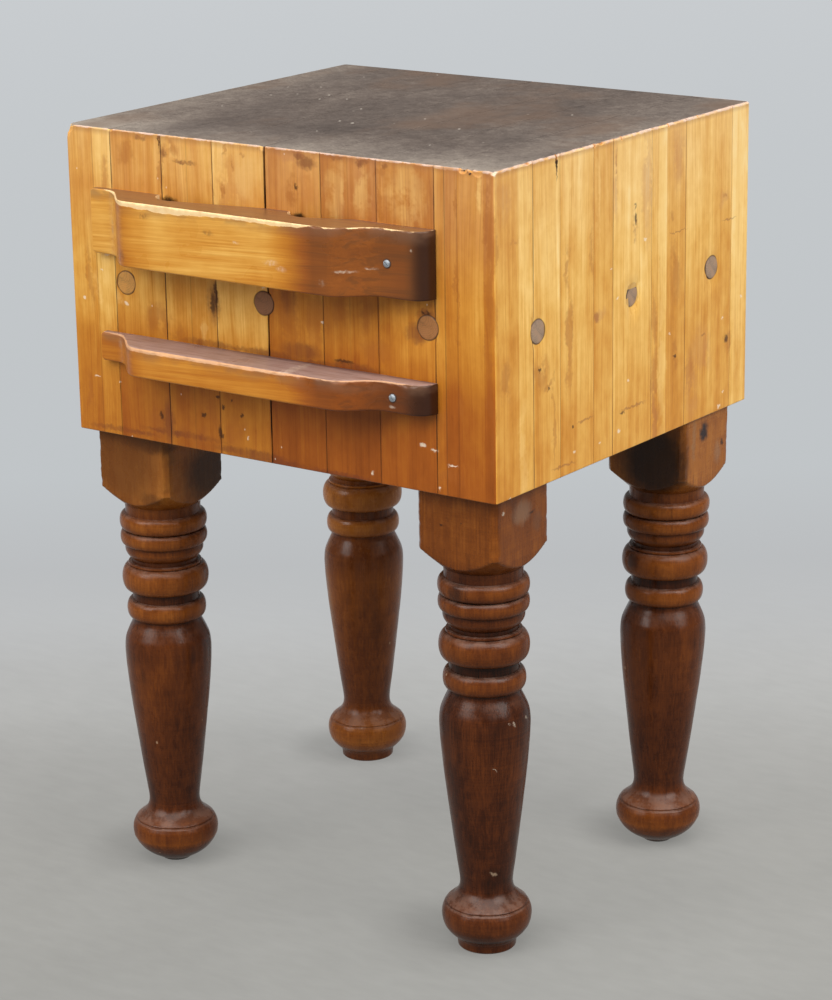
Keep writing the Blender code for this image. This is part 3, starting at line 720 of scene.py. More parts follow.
# Where the boards' tone changes: distance from the left, or from the front, and the tone.
FRONT_TONES = (
    (0.000, 0.62), (0.036, 0.71), (0.0625, 0.55), (0.096, 0.57), (0.133, 0.64), (0.168, 0.62),
    (0.203, 0.69), (0.240, 0.66), (0.272, 0.47), (0.310, 0.49), (0.3455, 0.46), (0.380, 0.43),
    (0.416, 0.49), (0.452, 0.45), (0.4875, 0.51), (0.500, 0.45), (0.515, 0.51), (0.545, 0.44),
)
SIDE_TONES = (
    (0.000, 0.68), (0.043, 0.80), (0.069, 0.72), (0.085, 0.80), (0.1185, 0.74), (0.140, 0.78),
    (0.165, 0.75), (0.182, 0.72), (0.2195, 0.81), (0.250, 0.79), (0.272, 0.83), (0.2965, 0.74),
    (0.308, 0.88), (0.326, 0.70), (0.3665, 0.75), (0.395, 0.79), (0.420, 0.74), (0.4645, 0.87),
    (0.490, 0.84),
)
LEFT_TONES = (
    (0.000, 0.62), (0.055, 0.70), (0.100, 0.58), (0.145, 0.66), (0.190, 0.72), (0.240, 0.64),
    (0.285, 0.55), (0.352, 0.66), (0.400, 0.60), (0.450, 0.69),
)


def grain_group():
    """Upright grain: broad bands, streaks and fibres, which are noise drawn out along the
    height, over slow cloudy patches. It returns a tone about 1 and a height for bump."""
    tree = bpy.data.node_groups.new("stave_grain", "ShaderNodeTree")
    tree.interface.new_socket("Place", in_out="INPUT", socket_type="NodeSocketVector")
    tree.interface.new_socket("Tone", in_out="OUTPUT", socket_type="NodeSocketFloat")
    tree.interface.new_socket("Height", in_out="OUTPUT", socket_type="NodeSocketFloat")
    tree.interface.new_socket("Bands", in_out="OUTPUT", socket_type="NodeSocketFloat")
    w = Wiring(tree)
    place = w.add("NodeGroupInput").outputs["Place"]
    sway = w.add("ShaderNodeTexNoise", {"Vector": w.scaled(place, (11, 11, 3.1)), "Scale": 1.0, "Detail": 1.0})
    shift = w.vector("MULTIPLY", w.vector("SUBTRACT", sway.outputs["Color"], (0.5, 0.5, 0.5)), (0.018, 0.018, 0.0))
    bent = w.vector("ADD", place, shift)
    bands = w.noise(w.scaled(bent, (75, 75, 1.3)), 1.0, 2.0)
    streaks = w.noise(w.scaled(bent, (270, 270, 3.2)), 1.0, 3.0, 0.6)
    fibres = w.noise(w.scaled(bent, (1150, 1150, 12)), 1.0, 2.0, 0.6)
    flecks = w.noise(w.scaled(bent, (900, 900, 90)), 1.0, 2.0)
    clouds = w.noise(w.scaled(place, (13, 13, 8)), 1.0, 3.0, 0.55)
    lines = w.span(w.noise(w.scaled(bent, (430, 430, 2.2), (5, 5, 5)), 1.0, 2.0, 0.6), 0.55, 0.66)
    lines = w.math("MULTIPLY", lines, w.span(clouds, 0.40, 0.60, 0.35, 1.0))
    tone = w.math("MULTIPLY_ADD", w.math("SUBTRACT", bands, 0.5), 0.50, 1.03)
    tone = w.math("SUBTRACT", tone, w.math("MULTIPLY", lines, 0.11))
    figure = w.noise(w.scaled(bent, (75, 75, 42), (1, 2, 3)), 1.0, 3.0, 0.6)
    tone = w.math("MULTIPLY_ADD", w.math("SUBTRACT", figure, 0.5), 0.34, tone)
    tone = w.math("MULTIPLY_ADD", w.math("SUBTRACT", streaks, 0.5), 0.34, tone)
    tone = w.math("MULTIPLY_ADD", w.math("SUBTRACT", fibres, 0.5), 0.24, tone)
    tone = w.math("MULTIPLY_ADD", w.math("SUBTRACT", clouds, 0.5), 0.52, tone)
    tone = w.math("SUBTRACT", tone, w.span(flecks, 0.66, 0.78, 0.0, 0.12))
    height = w.math("MULTIPLY_ADD", fibres, 0.5, w.math("MULTIPLY", streaks, 0.5))
    out = w.add("NodeGroupOutput")
    w.set(out.inputs["Tone"], tone)
    w.set(out.inputs["Height"], height)
    w.set(out.inputs["Bands"], w.math("MULTIPLY_ADD", streaks, 0.5, w.math("MULTIPLY", clouds, 0.5)))
    return tree


def spot_group():
    """How much a point lies inside an ellipsoid: 1 within, and falling to 0 at its skin."""
    tree = bpy.data.node_groups.new("spot", "ShaderNodeTree")
    for label in ("Place", "Centre", "Reach"):
        tree.interface.new_socket(label, in_out="INPUT", socket_type="NodeSocketVector")
    tree.interface.new_socket("Inside", in_out="OUTPUT", socket_type="NodeSocketFloat")
    w = Wiring(tree)
    given = w.add("NodeGroupInput").outputs
    away = w.vector("DIVIDE", w.vector("SUBTRACT", given["Place"], given["Centre"]), given["Reach"])
    out = w.add("NodeGroupOutput")
    w.set(out.inputs["Inside"], w.span(w.vector("LENGTH", away), 0.35, 1.0, 1.0, 0.0))
    return tree


SPOT = spot_group()
# Pale specks on the top: place and size.
TOP_SPECKS = (
    (-0.014, -0.064, 0.0024), (-0.034, -0.060, 0.0018), (-0.062, 0.016, 0.0016), (-0.117, 0.063, 0.0014),
    (-0.152, 0.076, 0.0018), (-0.196, 0.118, 0.0014), (-0.144, 0.048, 0.0016), (-0.210, 0.043, 0.0014),
    (-0.229, 0.099, 0.0014), (-0.188, 0.064, 0.0013), (-0.209, -0.046, 0.0014), (-0.016, -0.124, 0.0013),
    (-0.198, 0.204, 0.0013), (-0.132, 0.260, 0.0013), (0.038, -0.003, 0.0015), (0.107, -0.037, 0.0018),
    (0.137, -0.133, 0.0015), (0.161, 0.099, 0.0016),
)


def patina_group():
    """The chopped top: grey-brown clouds, fine mottling, crossing knife cuts and pale
    specks. It returns a colour, a height and a roughness."""
    tree = bpy.data.node_groups.new("chopping_patina", "ShaderNodeTree")
    tree.interface.new_socket("Place", in_out="INPUT", socket_type="NodeSocketVector")
    tree.interface.new_socket("Colour", in_out="OUTPUT", socket_type="NodeSocketColor")
    tree.interface.new_socket("Height", in_out="OUTPUT", socket_type="NodeSocketFloat")
    tree.interface.new_socket("Roughness", in_out="OUTPUT", socket_type="NodeSocketFloat")
    w = Wiring(tree)
    place = w.add("NodeGroupInput").outputs["Place"]
    clouds = w.noise(w.scaled(place, (9, 5, 7), (2, 4, 0)), 1.0, 5.0, 0.6, 0.5)
    browns = w.noise(w.scaled(place, (7, 5, 5), (3, 1, 0)), 1.0, 4.0, 0.6)
    mottle = w.noise(place, 75.0, 5.0, 0.72)
    fine = w.noise(place, 460.0, 3.0, 0.7)
    axes = w.add("ShaderNodeSeparateXYZ", {0: place}).outputs
    tone = w.math("MULTIPLY_ADD", w.math("SUBTRACT", clouds, 0.5), 0.70, 0.47)
    tone = w.math("MULTIPLY_ADD", w.math("SUBTRACT", mottle, 0.5), 0.70, tone)
    tone = w.math("MULTIPLY_ADD", w.math("SUBTRACT", fine, 0.5), 0.75, tone)
    cuts = None
    for number, (angle, pull) in enumerate(((0.3, 9.0), (1.25, 7.0), (2.2, 8.0), (-0.45, 10.0))):
        turned = w.scaled(place, (1, 1, 1), (number * 0.7, 0, 0), (0, 0, angle))
        cut = w.span(w.noise(w.scaled(turned, (pull, 800, 1)), 1.0, 1.0), 0.68, 0.78)
        cuts = cut if cuts is None else w.math("MAXIMUM", cuts, cut)
    tone = w.math("MULTIPLY_ADD", cuts, 0.10, tone)
    rubbed = w.math("ADD", w.span(axes["Y"], -0.24, -0.10, 0.34, 0.0), w.span(axes["X"], -0.30, -0.12, 0.20, 0.0))
    rubbed = w.math("ADD", rubbed, w.span(axes["X"], 0.10, 0.30, 0.0, 0.22))
    tone = w.math("ADD", tone, rubbed)
    colour = w.ramp(
        tone,
        (
            (0.00, (0.034, 0.024, 0.019)), (0.30, (0.068, 0.050, 0.041)), (0.55, (0.112, 0.087, 0.073)),
            (0.80, (0.185, 0.152, 0.127)), (1.00, (0.270, 0.228, 0.190)),
        ),
    )
    colour = w.blend(w.span(browns, 0.48, 0.66, 0.0, 0.55), colour, (0.130, 0.078, 0.050))
    specks = w.add("ShaderNodeTexVoronoi", {"Vector": place, "Scale": 34.0}, feature="F1")
    chosen = w.math("GREATER_THAN", w.add("ShaderNodeSeparateColor", {0: specks.outputs["Color"]}).outputs[0], 0.90)
    dot = w.span(specks.outputs["Distance"], 0.035, 0.060, 1.0, 0.0)
    colour = w.blend(w.math("MULTIPLY", w.math("MULTIPLY", dot, chosen), 0.45), colour, (0.50, 0.44, 0.37))
    for x, y, reach in TOP_SPECKS:
        spot = w.add("ShaderNodeGroup", node_tree=SPOT)
        w.set(spot.inputs["Place"], place)
        w.set(spot.inputs["Centre"], (x, y, TOP))
        w.set(spot.inputs["Reach"], (reach, reach * 1.3, 0.01))
        colour = w.blend(w.math("MULTIPLY", spot.outputs[0], 0.85), colour, (0.66, 0.60, 0.52))
    height = w.math("SUBTRACT", w.math("MULTIPLY_ADD", fine, 0.35, w.math("MULTIPLY", mottle, 0.6)), cuts)
    out = w.add("NodeGroupOutput")
    w.set(out.inputs["Colour"], colour)
    w.set(out.inputs["Height"], height)
    w.set(out.inputs["Roughness"], w.span(clouds, 0.3, 0.7, 0.42, 0.60))
    return tree


GRAIN, PATINA = grain_group(), patina_group()

# What each kind of mark on the block looks like: a colour and how fully it covers. The near-black kind serves both for
# flaws and for painted shadow in the knife pockets.
MARKS = {
    "knot": ((0.050, 0.015, 0.005), 0.82),
    "stain": ((0.360, 0.105, 0.016), 0.55),
    "purple": ((0.470, 0.190, 0.085), 0.42),
    "wine": ((0.150, 0.034, 0.016), 0.68),
    "flaw_and_shadow": ((0.014, 0.006, 0.003), 0.95),
    "bright": ((0.930, 0.620, 0.220), 0.50),
    "amber": ((0.560, 0.225, 0.055), 0.70),
    "chalk": ((0.860, 0.740, 0.580), 0.72),
    "scratch": ((0.330, 0.110, 0.035), 0.60),
}
# Marks on the front: kind, millimetres from the left and down from the top, half sizes.
FRONT_MARKS = (
    ("bright", 186, 205, 5, 12),
    ("stain", 191, 292, 14, 36), ("knot", 202, 316, 3, 8), ("knot", 217, 264, 2.2, 2.2),
    ("stain", 84, 28, 14, 14), ("stain", 90, 22, 4, 12), ("knot", 314, 39, 2.2, 4.5), ("stain", 312, 38, 9, 20),
    ("purple", 305, 8, 26, 9), ("stain", 318, 6, 12, 6), ("wine", 365, 3, 14, 3), ("wine", 400, 4, 8.4, 2.4),
    ("knot", 131, 8, 1.5, 9), ("stain", 133, 40, 4, 28), ("bright", 147, 30, 6, 12), ("stain", 143, 16, 10, 6),
    ("knot", 472, 152, 3.5, 2.2), ("knot", 478, 156, 4, 2.2), ("stain", 475, 155, 12, 8),
    ("wine", 372, 221, 38, 4), ("knot", 371, 216, 14, 2.2), ("wine", 340, 222, 50, 3.2), ("wine", 250, 220, 45, 3),
    ("chalk", 76, 190, 2.6, 2.6), ("chalk", 51, 138, 4.0, 1.4), ("chalk", 17, 190, 2.0, 1.8), ("chalk", 43, 156, 1.8, 1.6),
    ("chalk", 62, 279, 1.8, 1.8), ("chalk", 470, 290, 4, 2), ("chalk", 484, 294, 4.5, 2), ("chalk", 507, 307, 6, 1.2),
    ("chalk", 344, 178, 1.4, 2), ("chalk", 490, 333, 2, 2), ("chalk", 405, 331, 2.4, 2.4), ("chalk", 241, 318, 1.6, 1.8),
    ("chalk", 267, 149, 1.8, 1.8), ("chalk", 30, 277, 5, 1.0), ("bright", 250, 30, 20, 26), ("flaw_and_shadow", 523, 2, 2.6, 1.4),
    # The two near-black marks 71.5 mm down, at 142 and 317 mm from the left, are painted shadow in the left ends of the
    # knife pockets.
    ("flaw_and_shadow", 531, 3.5, 2.6, 1.0), ("flaw_and_shadow", 142, 71.5, 13, 6.5), ("flaw_and_shadow", 317, 71.5, 12, 6.5), ("stain", 552, 110, 4, 110),
    ("knot", 234, 293, 3, 2.6), ("knot", 235, 259, 1.6, 1.6), ("knot", 200, 277, 2, 2), ("knot", 180, 300, 3, 3),
    ("stain", 165, 322, 26, 12), ("knot", 120, 308, 3, 5), ("stain", 115, 318, 12, 18), ("wine", 240, 333, 60, 5),
    ("stain", 92, 30, 4.0, 7.0), ("stain", 340, 165, 12, 26), ("stain", 300, 180, 22, 32),
    ("stain", 398, 160, 10, 22), ("stain", 557, 90, 5, 100), ("stain", 553, 60, 5, 70), ("stain", 556, 220, 3, 120), ("stain", 425, 15, 10, 9),
    ("bright", 543, 20, 4, 16), ("stain", 516, 30, 3, 20), ("stain", 515, 130, 1.2, 30),
    ("wine", 198, 174, 10, 26), ("knot", 198, 174, 4, 15), ("knot", 202, 166, 2.5, 18), ("wine", 328, 12, 14, 7.8),
    ("wine", 319, 7, 7, 4.8), ("wine", 397, 7, 7, 3.6), ("wine", 428, 7, 4.9, 3), ("wine", 136, 20, 4.9, 5.4),
    ("stain", 143, 17, 14, 14), ("wine", 192, 220, 40, 4.8), ("wine", 280, 221, 50, 6.4), ("wine", 340, 225, 60, 7.2),
    ("wine", 385, 223, 40, 8), ("knot", 478, 154, 3.5, 5), ("knot", 470, 162, 3, 3.5), ("knot", 484, 163, 2.4, 2.4),
    ("wine", 465, 174, 16, 12), ("wine", 478, 158, 14, 13), ("wine", 130, 314, 9, 26), ("knot", 207, 287, 2.6, 3),
    ("knot", 205, 320, 2.8, 3.4), ("stain", 162, 304, 5, 5), ("knot", 220, 278, 1.8, 1.8), ("stain", 189, 293, 16, 20),
    ("stain", 222, 310, 24, 16), ("stain", 341, 175, 26, 34), ("wine", 314, 212, 30, 11.2), ("stain", 367, 161, 14, 26),
    ("stain", 417, 197, 22, 18), ("stain", 123, 202, 20, 22), ("stain", 71, 236, 14, 12), ("stain", 53, 51, 8, 22),
    ("stain", 25, 164, 5, 40), ("stain", 220, 51, 6, 8), ("stain", 283, 134, 18, 10), ("stain", 305, 90, 10, 20),
    ("stain", 150, 215, 30, 10), ("stain", 205, 68, 2.5, 24), ("stain", 421, 47, 3, 22), ("wine", 166, 27, 16.8, 2.4),
    ("wine", 105, 6, 9.8, 3), ("stain", 233, 16, 1.8, 7), ("stain", 221, 13, 1.6, 8), ("stain", 245, 12, 1.6, 6),
    ("stain", 516, 37, 3, 4), ("stain", 512, 118, 2.2, 22), ("stain", 517, 179, 6, 4), ("stain", 517, 247, 6, 18),
    ("stain", 503, 322, 16, 8), ("stain", 17, 295, 5, 26), ("wine", 269, 337, 60, 4), ("wine", 152, 326, 60, 4),
    ("wine", 66, 333, 50, 3.5), ("wine", 362, 339, 50, 4), ("bright", 44, 90, 6, 20), ("bright", 38, 174, 7, 24),
    ("bright", 67, 187, 7, 10),
    ("bright", 452, 36, 27, 34), ("bright", 455, 20, 22, 16), ("bright", 400, 36, 12, 30), ("bright", 365, 40, 14, 34),
    ("amber", 240, 36, 26, 34), ("amber", 222, 60, 14, 30), ("amber", 330, 40, 12, 20), ("stain", 445, 140, 14, 20), ("wine", 300, 150, 12, 26),
)
# Marks on the right side: kind, millimetres from the front and down from the top, sizes.
SIDE_MARKS = (
    ("flaw_and_shadow", 112, 8, 1.5, 13), ("knot", 113, 16, 0.9, 12), ("stain", 36, 73, 8, 6), ("purple", 36, 73, 6, 5),
    ("knot", 264, 92, 2.2, 8), ("stain", 264, 94, 6, 20), ("knot", 263, 78, 1.2, 4), ("purple", 287, 62, 12, 78),
    ("knot", 457, 260, 5.0, 5.0), ("stain", 458, 262, 9, 14), ("knot", 80, 217, 2.6, 2.2), ("stain", 84, 218, 14, 20),
    ("knot", 97, 240, 2.6, 1.6), ("stain", 98, 236, 12, 6), ("knot", 143, 290, 2.6, 2.0), ("stain", 132, 118, 5, 30),
    ("stain", 134, 205, 6, 62), ("stain", 178, 110, 4, 26), ("purple", 194, 182, 14, 9), ("scratch", 187, 182, 6, 6),
    ("scratch", 166, 288, 17, 1.5), ("scratch", 260, 294.5, 26, 1.6), ("knot", 238, 296.5, 5, 1.6),
    ("scratch", 125, 328.5, 24, 1.6), ("scratch", 352, 120, 20, 0.9), ("scratch", 459, 125, 18, 1.0),
    ("stain", 304, 290, 7, 72), ("purple", 304, 320, 6, 42), ("stain", 303, 210, 5, 40), ("stain", 346, 258, 6, 20),
    ("knot", 346, 257, 4, 1.6), ("purple", 380, 300, 14, 44), ("stain", 378, 285, 9, 30), ("stain", 338, 105, 5, 14),
    ("purple", 222, 40, 6, 46), ("stain", 226, 24, 2.5, 22), ("stain", 345, 165, 12, 40), ("purple", 350, 40, 16, 40),
    ("purple", 400, 260, 26, 30), ("scratch", 406, 246, 5, 2), ("purple", 450, 95, 9, 11), ("stain", 449, 94, 4, 4),
    ("chalk", 145, 318, 3.0, 2.0), ("chalk", 194, 319, 2.2, 1.8), ("chalk", 232, 315, 3, 1.8), ("chalk", 250, 263, 2.2, 1.8),
    ("chalk", 284, 117, 3, 1.1), ("chalk", 335, 230, 2.2, 1.1), ("chalk", 450, 320, 2.8, 2.2), ("chalk", 443, 335, 3.6, 2.4),
    ("chalk", 448, 235, 2.0, 1.6), ("chalk", 489, 218, 2.0, 1.4), ("chalk", 216, 136, 3, 1.0), ("chalk", 24, 339, 2.4, 1.4),
    ("chalk", 228, 170, 2.6, 0.8), ("bright", 318, 90, 9, 130), ("bright", 318, 250, 8, 120), ("bright", 55, 60, 10, 90),
    ("bright", 98, 70, 14, 80), ("bright", 480, 120, 12, 200), ("stain", 20, 215, 12, 30), ("purple", 16, 30, 14, 30),
    ("bright", 50, 300, 8, 60), ("bright", 132, 30, 5, 44), ("bright", 190, 60, 3, 60), ("stain", 106, 270, 3, 60),
    ("chalk", 3, 2, 5, 2.4),
)
# How dark each joint has become: distance from the left, or from the front, and strength.
FRONT_SEAMS = (
    (0.0625, 0.92), (0.133, 0.88), (0.168, 0.22), (0.203, 0.66), (0.2722, 1.0), (0.3455, 0.55),
    (0.380, 0.18), (0.416, 0.48), (0.4875, 0.90), (0.500, 0.45), (0.036, 0.20), (0.515, 0.20),
)
SIDE_SEAMS = (
    (0.069, 0.95), (0.1185, 0.14), (0.182, 0.10), (0.2195, 0.55), (0.2965, 0.22), (0.3665, 0.45),
    (0.4645, 0.12),
)


def tones_ramp(w, across, origin, length, tones):
    """The boards' tones as steps along one direction, read back as a number."""
    share = w.math("DIVIDE", w.math("SUBTRACT", across, origin), length)
    stops = [(position / length, (tone,)) for position, tone in tones]
    colour = w.ramp(share, stops, "CONSTANT")
    return w.add("ShaderNodeSeparateColor", {0: colour}).outputs[0]


def seam_mask(w, across, origin, seams, width):
    """1 on each seam line and 0 away from it, times the seam's strength."""
    mask = None
    for position, strength in seams:
        away = w.math("ABSOLUTE", w.math("SUBTRACT", across, origin + position))
        line = w.span(away, width * 0.25, width, strength, 0.0)
        mask = line if mask is None else w.math("MAXIMUM", mask, line)
    return mask


def stave_material(name, box, outer):
    """Varnished maple on the sides and the chopped patina on top, with the marks, the
    seams, the rings round the plugs and the worn arris that fall on this stave."""
    (x0, x1), (y0, y1) = box
    material, w, shader, place = new_material(f"wood_of_{name}")
    shift = np.random.default_rng(sum(map(ord, name))).uniform(-9, 9, 3)
    grain = w.add("ShaderNodeGroup", node_tree=GRAIN)
    w.set(grain.inputs["Place"], w.vector("ADD", place, tuple(shift)))
    axes = w.add("ShaderNodeSeparateXYZ", {0: place}).outputs
    normal = w.add("ShaderNodeSeparateXYZ", {0: w.add("ShaderNodeNewGeometry").outputs["Normal"]}).outputs
    side_on = w.math("GREATER_THAN", w.math("ABSOLUTE", normal["X"]), 0.71)

    # The board's own tone, times a fall towards the bottom that is partly painted shade.
    tone = tones_ramp(w, axes["X"], LEFT, RIGHT - LEFT, FRONT_TONES)
    if "left" in outer or "right" in outer:
        side_tones = SIDE_TONES if "right" in outer else LEFT_TONES
        side_tone = tones_ramp(w, axes["Y"], FRONT, BACK - FRONT, side_tones)
        tone = w.add("ShaderNodeMix", {0: side_on, 2: tone, 3: side_tone}, data_type="FLOAT").outputs[0]
    upward = w.math("DIVIDE", w.math("SUBTRACT", axes["Z"], UNDER), TOP - UNDER)
    front_fall = w.add("ShaderNodeSeparateColor", {0: w.ramp(upward, FRONT_FALL)}).outputs[0]
    side_fall = w.add("ShaderNodeSeparateColor", {0: w.ramp(upward, SIDE_FALL)}).outputs[0]
    even = w.math("MAXIMUM", side_on, w.math("GREATER_THAN", normal["Y"], 0.5))
    deeper = w.add("ShaderNodeMix", {0: even, 2: front_fall, 3: side_fall}, data_type="FLOAT").outputs[0]
    tone = w.math("MULTIPLY", tone, deeper)
    tone = w.math("MULTIPLY", tone, grain.outputs["Tone"])
    colour = w.ramp(tone, AMBER)
    # Painted light and sheen: the faces are paled towards the top.
    top_tint = w.math("MULTIPLY", w.span(upward, 0.55, 1.0, 0.0, 0.16), w.span(grain.outputs["Bands"], 0.40, 0.60, 0.5, 1.0))
    colour = w.blend(top_tint, colour, (0.86, 0.62, 0.42))

    # The marks, each kind in one coat, with ragged edges.
    ragged = w.add("ShaderNodeTexNoise", {"Vector": place, "Scale": 210.0, "Detail": 3.0})
    jitter = w.vector("MULTIPLY", w.vector("SUBTRACT", ragged.outputs["Color"], (0.5,) * 3), (0.0085,) * 3)
    wandering = w.vector("ADD", place, jitter)
    broad = w.add("ShaderNodeTexNoise", {"Vector": w.scaled(place, (46, 46, 26)), "Scale": 1.0, "Detail": 3.0})
    drift = w.vector("MULTIPLY", w.vector("SUBTRACT", broad.outputs["Color"], (0.5,) * 3), (0.024, 0.024, 0.050))
    drifting = w.vector("ADD", wandering, drift)
    marks = []
    if "front" in outer:
        marks += [(kind, (LEFT + a / 1000, FRONT, TOP - d / 1000), (w2, 5.0, h2)) for kind, a, d, w2, h2 in FRONT_MARKS]
    if "right" in outer:
        marks += [(kind, (RIGHT, FRONT + a / 1000, TOP - d / 1000), (5.0, w2, h2)) for kind, a, d, w2, h2 in SIDE_MARKS]
    masks = {}
    for kind, centre, reach in marks:
        reach = tuple(size * 1.25 / 1000 for size in reach)
        if centre[0] + reach[0] < x0 or centre[0] - reach[0] > x1:
            continue
        if centre[1] + reach[1] < y0 or centre[1] - reach[1] > y1:
            continue
        spot = w.add("ShaderNodeGroup", node_tree=SPOT)
        w.set(spot.inputs["Place"], drifting if kind in ("stain", "purple", "bright", "amber") else wandering)
        w.set(spot.inputs["Centre"], centre)
        w.set(spot.inputs["Reach"], reach)
        inside = spot.outputs[0]
        masks[kind] = inside if kind not in masks else w.math("MAXIMUM", masks[kind], inside)
    for kind in ("amber", "bright", "purple", "stain", "wine", "scratch", "knot", "flaw_and_shadow", "chalk"):
        if kind in masks:
            paint, cover = MARKS[kind]
            share = w.math("MULTIPLY", masks[kind], cover)
            if kind in ("stain", "purple", "bright", "wine", "amber"):
                share = w.math("MULTIPLY", share, w.span(grain.outputs["Bands"], 0.36, 0.62, 0.40, 1.0))
            colour = w.blend(share, colour, paint)

    # Random small dark dots and pale flecks everywhere on the varnish.
    dots = w.add("ShaderNodeTexVoronoi", {"Vector": w.scaled(place, (1, 1, 0.7)), "Scale": 62.0}, feature="F1")
    picked = w.add("ShaderNodeSeparateColor", {0: dots.outputs["Color"]}).outputs
    tiny = w.span(dots.outputs["Distance"], 0.02, 0.065, 1.0, 0.0)
    dark = w.math("MULTIPLY", tiny, w.math("GREATER_THAN", picked[0], 0.955))
    pale = w.math("MULTIPLY", tiny, w.math("GREATER_THAN", picked[1], 0.975))
    colour = w.blend(w.math("MULTIPLY", dark, 0.75), colour, (0.07, 0.022, 0.008))
    colour = w.blend(w.math("MULTIPLY", pale, 0.7), colour, (0.85, 0.74, 0.58))

    # Dark seams and the rings round the plugs.
    front_seams = seam_mask(w, w.math("ADD", axes["X"], w.math("MULTIPLY", w.math("SUBTRACT", ragged.outputs["Fac"], 0.5), 0.0006)),
                            LEFT, FRONT_SEAMS, 0.00115)
    seams = front_seams
    if "right" in outer or "left" in outer:
        own = SIDE_SEAMS if "right" in outer else [(joint, 0.5) for joint in LEFT_JOINTS]
        side_seams = seam_mask(w, axes["Y"], FRONT, own, 0.00105)
        seams = w.add("ShaderNodeMix", {0: side_on, 2: front_seams, 3: side_seams}, data_type="FLOAT").outputs[0]
    patchy = w.span(w.noise(w.scaled(place, (40, 40, 14)), 1.0, 2.0), 0.36, 0.56, 0.55, 1.0)
    colour = w.blend(w.math("MULTIPLY", seams, patchy), colour, (0.040, 0.013, 0.006))
    for axis, face, _, across, height, depth in holes_of(box, outer):
        other = "X" if axis == 1 else "Y"
        near = w.math("LESS_THAN", w.math("ABSOLUTE", w.math("SUBTRACT", axes["Y" if axis == 1 else "X"], face)), 0.02)
        flat = w.add("ShaderNodeCombineXYZ", {0: w.math("SUBTRACT", axes[other], across), 1: w.math("SUBTRACT", axes["Z"], height)})
        deep = depth == DEEP_HOLE
        ring = w.span(w.vector("LENGTH", flat.outputs[0]), 0.0131, 0.0141, 0.35 if deep else 0.78, 0.0)
        colour = w.blend(w.math("MULTIPLY", ring, near), colour, (0.350, 0.160, 0.050) if deep else (0.060, 0.026, 0.014))

    # The worn arris: bare pale wood where the sides meet the top.
    edge = w.math("MINIMUM", w.math("MINIMUM", w.math("SUBTRACT", axes["Y"], FRONT), w.math("SUBTRACT", RIGHT, axes["X"])),
                  w.math("MINIMUM", w.math("SUBTRACT", BACK, axes["Y"]), w.math("SUBTRACT", axes["X"], LEFT)))
    drop = w.math("SUBTRACT", TOP, axes["Z"])
    away = w.math("ADD", w.math("MAXIMUM", edge, 0.0), w.math("MULTIPLY", w.math("MAXIMUM", drop, 0.0), 0.8))
    frayed = w.math("MULTIPLY_ADD", w.math("SUBTRACT", w.noise(place, 170.0, 3.0, 0.6), 0.5), 0.0030, away)
    reach = 0.0027 if "right" in outer else 0.0015
    worn = w.span(frayed, reach * 0.55, reach * 1.05, 1.0, 0.0)
    bare = w.blend(w.noise(place, 90.0, 2.0), (0.55, 0.36, 0.28), (0.80, 0.62, 0.52))
    patina = w.add("ShaderNodeGroup", node_tree=PATINA)
    w.set(patina.inputs["Place"], place)
    up = w.span(normal["Z"], 0.72, 0.90)
    between = w.math("MULTIPLY", w.math("LESS_THAN", drop, 0.0012), w.math("GREATER_THAN", edge, 0.003))
    up = w.math("MAXIMUM", up, between)
    top_seams = seam_mask(w, axes["X"], LEFT, [(joint, 0.18) for joint in SLAB_JOINTS], 0.0012)
    top_colour = w.blend(top_seams, patina.outputs["Colour"], (0.030, 0.022, 0.018))
    colour = w.blend(up, colour, top_colour)
    thin = w.span(w.noise(w.scaled(place, (55, 55, 55)), 1.0, 2.0), 0.38, 0.60, 0.25, 0.85)
    colour = w.blend(w.math("MULTIPLY", worn, thin), colour, bare)
    scorched = w.math("MULTIPLY", w.span(away, 0.0012, 0.0075, 0.42, 0.0), w.span(normal["Z"], 0.0, 0.5, 1.0, 0.0))
    colour = w.blend(w.math("MULTIPLY", scorched, w.math("SUBTRACT", 1.0, worn)), colour, (0.300, 0.110, 0.050))
    # The underside, where the faces turn down, is darkened.
    underside_tint = w.math("LESS_THAN", normal["Z"], -0.5)
    colour = w.blend(w.math("MULTIPLY", underside_tint, 0.75), colour, (0.085, 0.040, 0.020))

    w.set(shader.inputs["Base Color"], colour)
    rough = w.span(grain.outputs["Height"], 0.3, 0.7, 0.30, 0.44)
    rough = w.add("ShaderNodeMix", {0: up, 2: rough, 3: patina.outputs["Roughness"]}, data_type="FLOAT").outputs[0]
    rough = w.add("ShaderNodeMix", {0: worn, 2: rough, 3: 0.7}, data_type="FLOAT").outputs[0]
    w.set(shader.inputs["Roughness"], rough)
    height = w.add("ShaderNodeMix", {0: up, 2: grain.outputs["Height"], 3: patina.outputs["Height"]}, data_type="FLOAT").outputs[0]
    w.set(shader.inputs["Normal"], w.bump(height, 0.00025, 0.8))
    shader.inputs["Specular IOR Level"].default_value = 0.24
    return material
